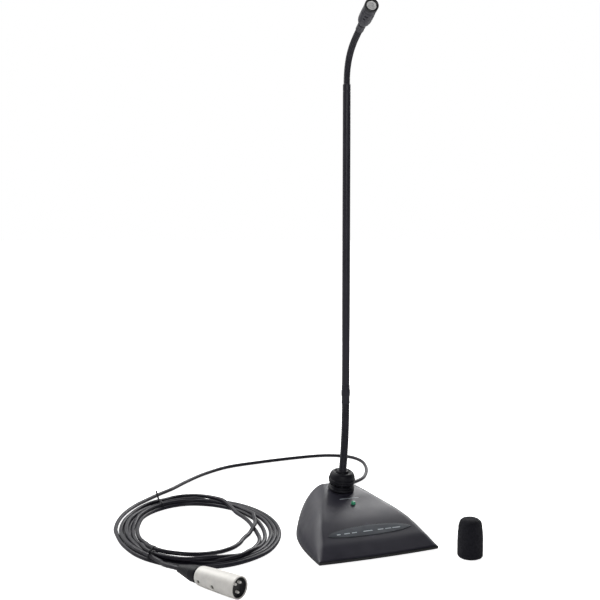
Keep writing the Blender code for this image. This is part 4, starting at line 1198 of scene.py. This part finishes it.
def make_grille(place):
    """A thin silver disc with rings of fine holes, over a plain metal backing."""
    curve = bpy.data.curves.new("grille", "CURVE")
    curve.dimensions = "2D"
    curve.fill_mode = "BOTH"
    curve.extrude = 0.15 * MM
    circles = [(0.0, 0.0, GRILLE_RADIUS, 72), (0.0, 0.0, GRILLE_HOLE, 12)]
    for ring in range(1, 5):
        reach = GRILLE_PITCH * ring
        for number in range(6 * ring):
            angle = 2 * math.pi * number / (6 * ring)
            circles.append((reach * math.cos(angle), reach * math.sin(angle), GRILLE_HOLE, 12))
    for x, y, radius, count in circles:
        spline = curve.splines.new("POLY")
        spline.points.add(count - 1)
        spline.use_cyclic_u = True
        for index, point in enumerate(spline.points):
            angle = 2 * math.pi * index / count
            point.co = ((x + radius * math.cos(angle)) * MM, (y + radius * math.sin(angle)) * MM, 0, 1)
    flat = bpy.data.objects.new("grille", curve)
    bpy.context.scene.collection.objects.link(flat)
    bpy.context.view_layer.update()
    bm = bmesh.new()
    bm.from_mesh(bpy.data.meshes.new_from_object(flat.evaluated_get(bpy.context.evaluated_depsgraph_get())))
    bmesh.ops.remove_doubles(bm, verts=bm.verts, dist=1e-7)
    bpy.data.objects.remove(flat, do_unlink=True)
    disc = object_from("front_grille", bm, place @ Matrix.Translation((0, 0, 46.6 * MM)))
    piece(disc, GRILLE, "head", "capsule_grille")
    backing = lathe("grille_backing", ((0, 45.4), (4.25, 45.4), (4.25, 46.2), (0, 46.2)), place, 48)
    piece(backing, ZINC, "head")


# ---------------- foam windscreen


def make_foam():
    low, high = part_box("windscreen")
    centre = (low + high) / 2
    widest = FOAM_SIDE[-1][0]
    side = np.array([(radius, 0.0, height) for radius, height in (*FOAM_SIDE, (widest, FOAM_EDGE + 0.8))])
    profile = [(max(x, 0.0), z) for x, _, z in evenly(smooth_through(side), 0.7)]
    inner = widest - FOAM_EDGE
    for i in range(9):
        turn = math.pi / 2 * i / 8
        profile.append((inner + FOAM_EDGE * math.cos(turn), FOAM_EDGE * (1 - math.sin(turn))))
    profile += [(radius, 0.0) for radius in np.linspace(inner - 0.8, FOAM_BORE + 0.3, 5)]
    profile += [(FOAM_BORE, height) for height in np.linspace(0.4, FOAM_BORE_DEPTH - 2, 22)]
    end = FOAM_BORE_DEPTH + 0.1
    profile += [(FOAM_BORE - 2, FOAM_BORE_DEPTH), (FOAM_BORE - 3.5, end), (0, end)]
    foam = lathe("foam_windscreen", profile, Matrix.Translation((centre.x, centre.y, 0)), 132)
    normals = [vertex.normal.copy() for vertex in foam.data.vertices]
    for vertex, normal in zip(foam.data.vertices, normals):
        place = vertex.co * 1000
        pits = noise.noise(place * 1.3) * 0.16 + noise.noise(place * 0.32) * 0.22
        vertex.co += normal * (pits - 0.16) * MM
        vertex.co.z = max(vertex.co.z, 0.0002)
    piece(foam, FOAM, "windscreen", "windscreen")


# ---------------- the CAD nodes that stay


def dress_nodes():
    kept = {
        BOARD: ("circuit_board",),
        BRASS: ("board_spacer_1", "board_spacer_2", "mount_nut"),
        ZINC: ("board_screw_1", "board_screw_2", "mount_washer"),
        DARK_PLASTIC: ("tactile_switch", "dip_switch_block", "cable_clamp"),
        WHITE_PLASTIC: ("switch_plunger", "dip_lever_1", "dip_lever_2", "lead_socket", "status_lamp"),
        JACKET: ("inner_lead",),
        NICKEL: ("gooseneck_socket",),
    }
    for material, names in kept.items():
        for name in names:
            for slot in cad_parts[name].material_slots:
                slot.material = material


# ---------------- floor and light


def make_floor():
    """A pale floor that the camera sees as white."""
    bm = bmesh.new()
    bmesh.ops.create_circle(bm, cap_ends=True, radius=40.0, segments=64)
    floor = object_from("floor", bm)
    floor.location.z = -0.0001
    pale = Shader("pale_floor")
    pale.shades(pale.spread(pale.noise(3.0), 0.0, 1.0), (0.86, 0.86, 0.86), (0.9, 0.9, 0.9))
    pale.fixed(Roughness=0.9, Emission_Color=(1.0, 1.0, 1.0, 1.0))
    seen_directly = pale.node("ShaderNodeLightPath").outputs["Is Camera Ray"]
    pale.link("Emission Strength", pale.math("MULTIPLY", seen_directly, FLOOR_LIFT))
    floor.data.materials.append(pale.material)


def faded(tree, value, low, high, at_low, at_high):
    """Runs softly from one strength to another as a direction's part goes from low to high."""
    ends = {"Value": value, "From Min": low, "From Max": high, "To Min": at_low, "To Max": at_high}
    return add_node(tree, "ShaderNodeMapRange", ends, interpolation_type="SMOOTHSTEP").outputs["Result"]


def make_sky():
    """A white sky that is brightest behind the object, and plain white where the camera sees it."""
    world = bpy.data.worlds.new("studio")
    bpy.context.scene.world = world
    world.use_nodes = True
    tree = world.node_tree
    tree.nodes.clear()
    direction = add_node(tree, "ShaderNodeTexCoord").outputs["Generated"]
    parts = add_node(tree, "ShaderNodeSeparateXYZ", {0: direction}).outputs
    behind = faded(tree, parts["Y"], -0.15, 0.5, 0.05, 0.7)
    above = faded(tree, parts["Z"], 0.72, 1.0, 1.0, 0.45)
    product = add_node(tree, "ShaderNodeMath", {0: behind, 1: above}, operation="MULTIPLY").outputs[0]
    seen = add_node(tree, "ShaderNodeLightPath").outputs["Is Camera Ray"]
    larger = add_node(tree, "ShaderNodeMath", {0: product, 1: seen}, operation="MAXIMUM").outputs[0]
    background = add_node(tree, "ShaderNodeBackground", {"Color": (1.0, 1.0, 1.0, 1.0), "Strength": larger})
    add_node(tree, "ShaderNodeOutputWorld", {0: background.outputs[0]})


def make_studio():
    make_floor()
    make_sky()
    for name, place, size, power in (
        ("key_light", (-0.7, 1.2, 1.5), 1.2, 19.0),
        ("fill_light", (1.1, 1.2, 1.1), 0.9, 16.0),
        ("front_light", (-0.5, -1.5, 0.8), 0.6, 7.0),
    ):
        data = bpy.data.lights.new(name, "AREA")
        data.size = size
        data.energy = power
        lamp = bpy.data.objects.new(name, data)
        bpy.context.scene.collection.objects.link(lamp)
        lamp.location = place
        lamp.rotation_euler = (Vector((0, 0, 0.15)) - Vector(place)).to_track_quat("-Z", "Y").to_euler()
    bpy.context.scene.view_settings.view_transform = "Standard"


# ---------------- build


make_camera()
cord, cord_path, ties = make_cord()
plug_pieces = make_plug()
make_housing()
make_underside()
make_key()
make_light_and_line()
make_gland()
make_mount()
make_neck()
make_foam()
dress_nodes()
make_studio()
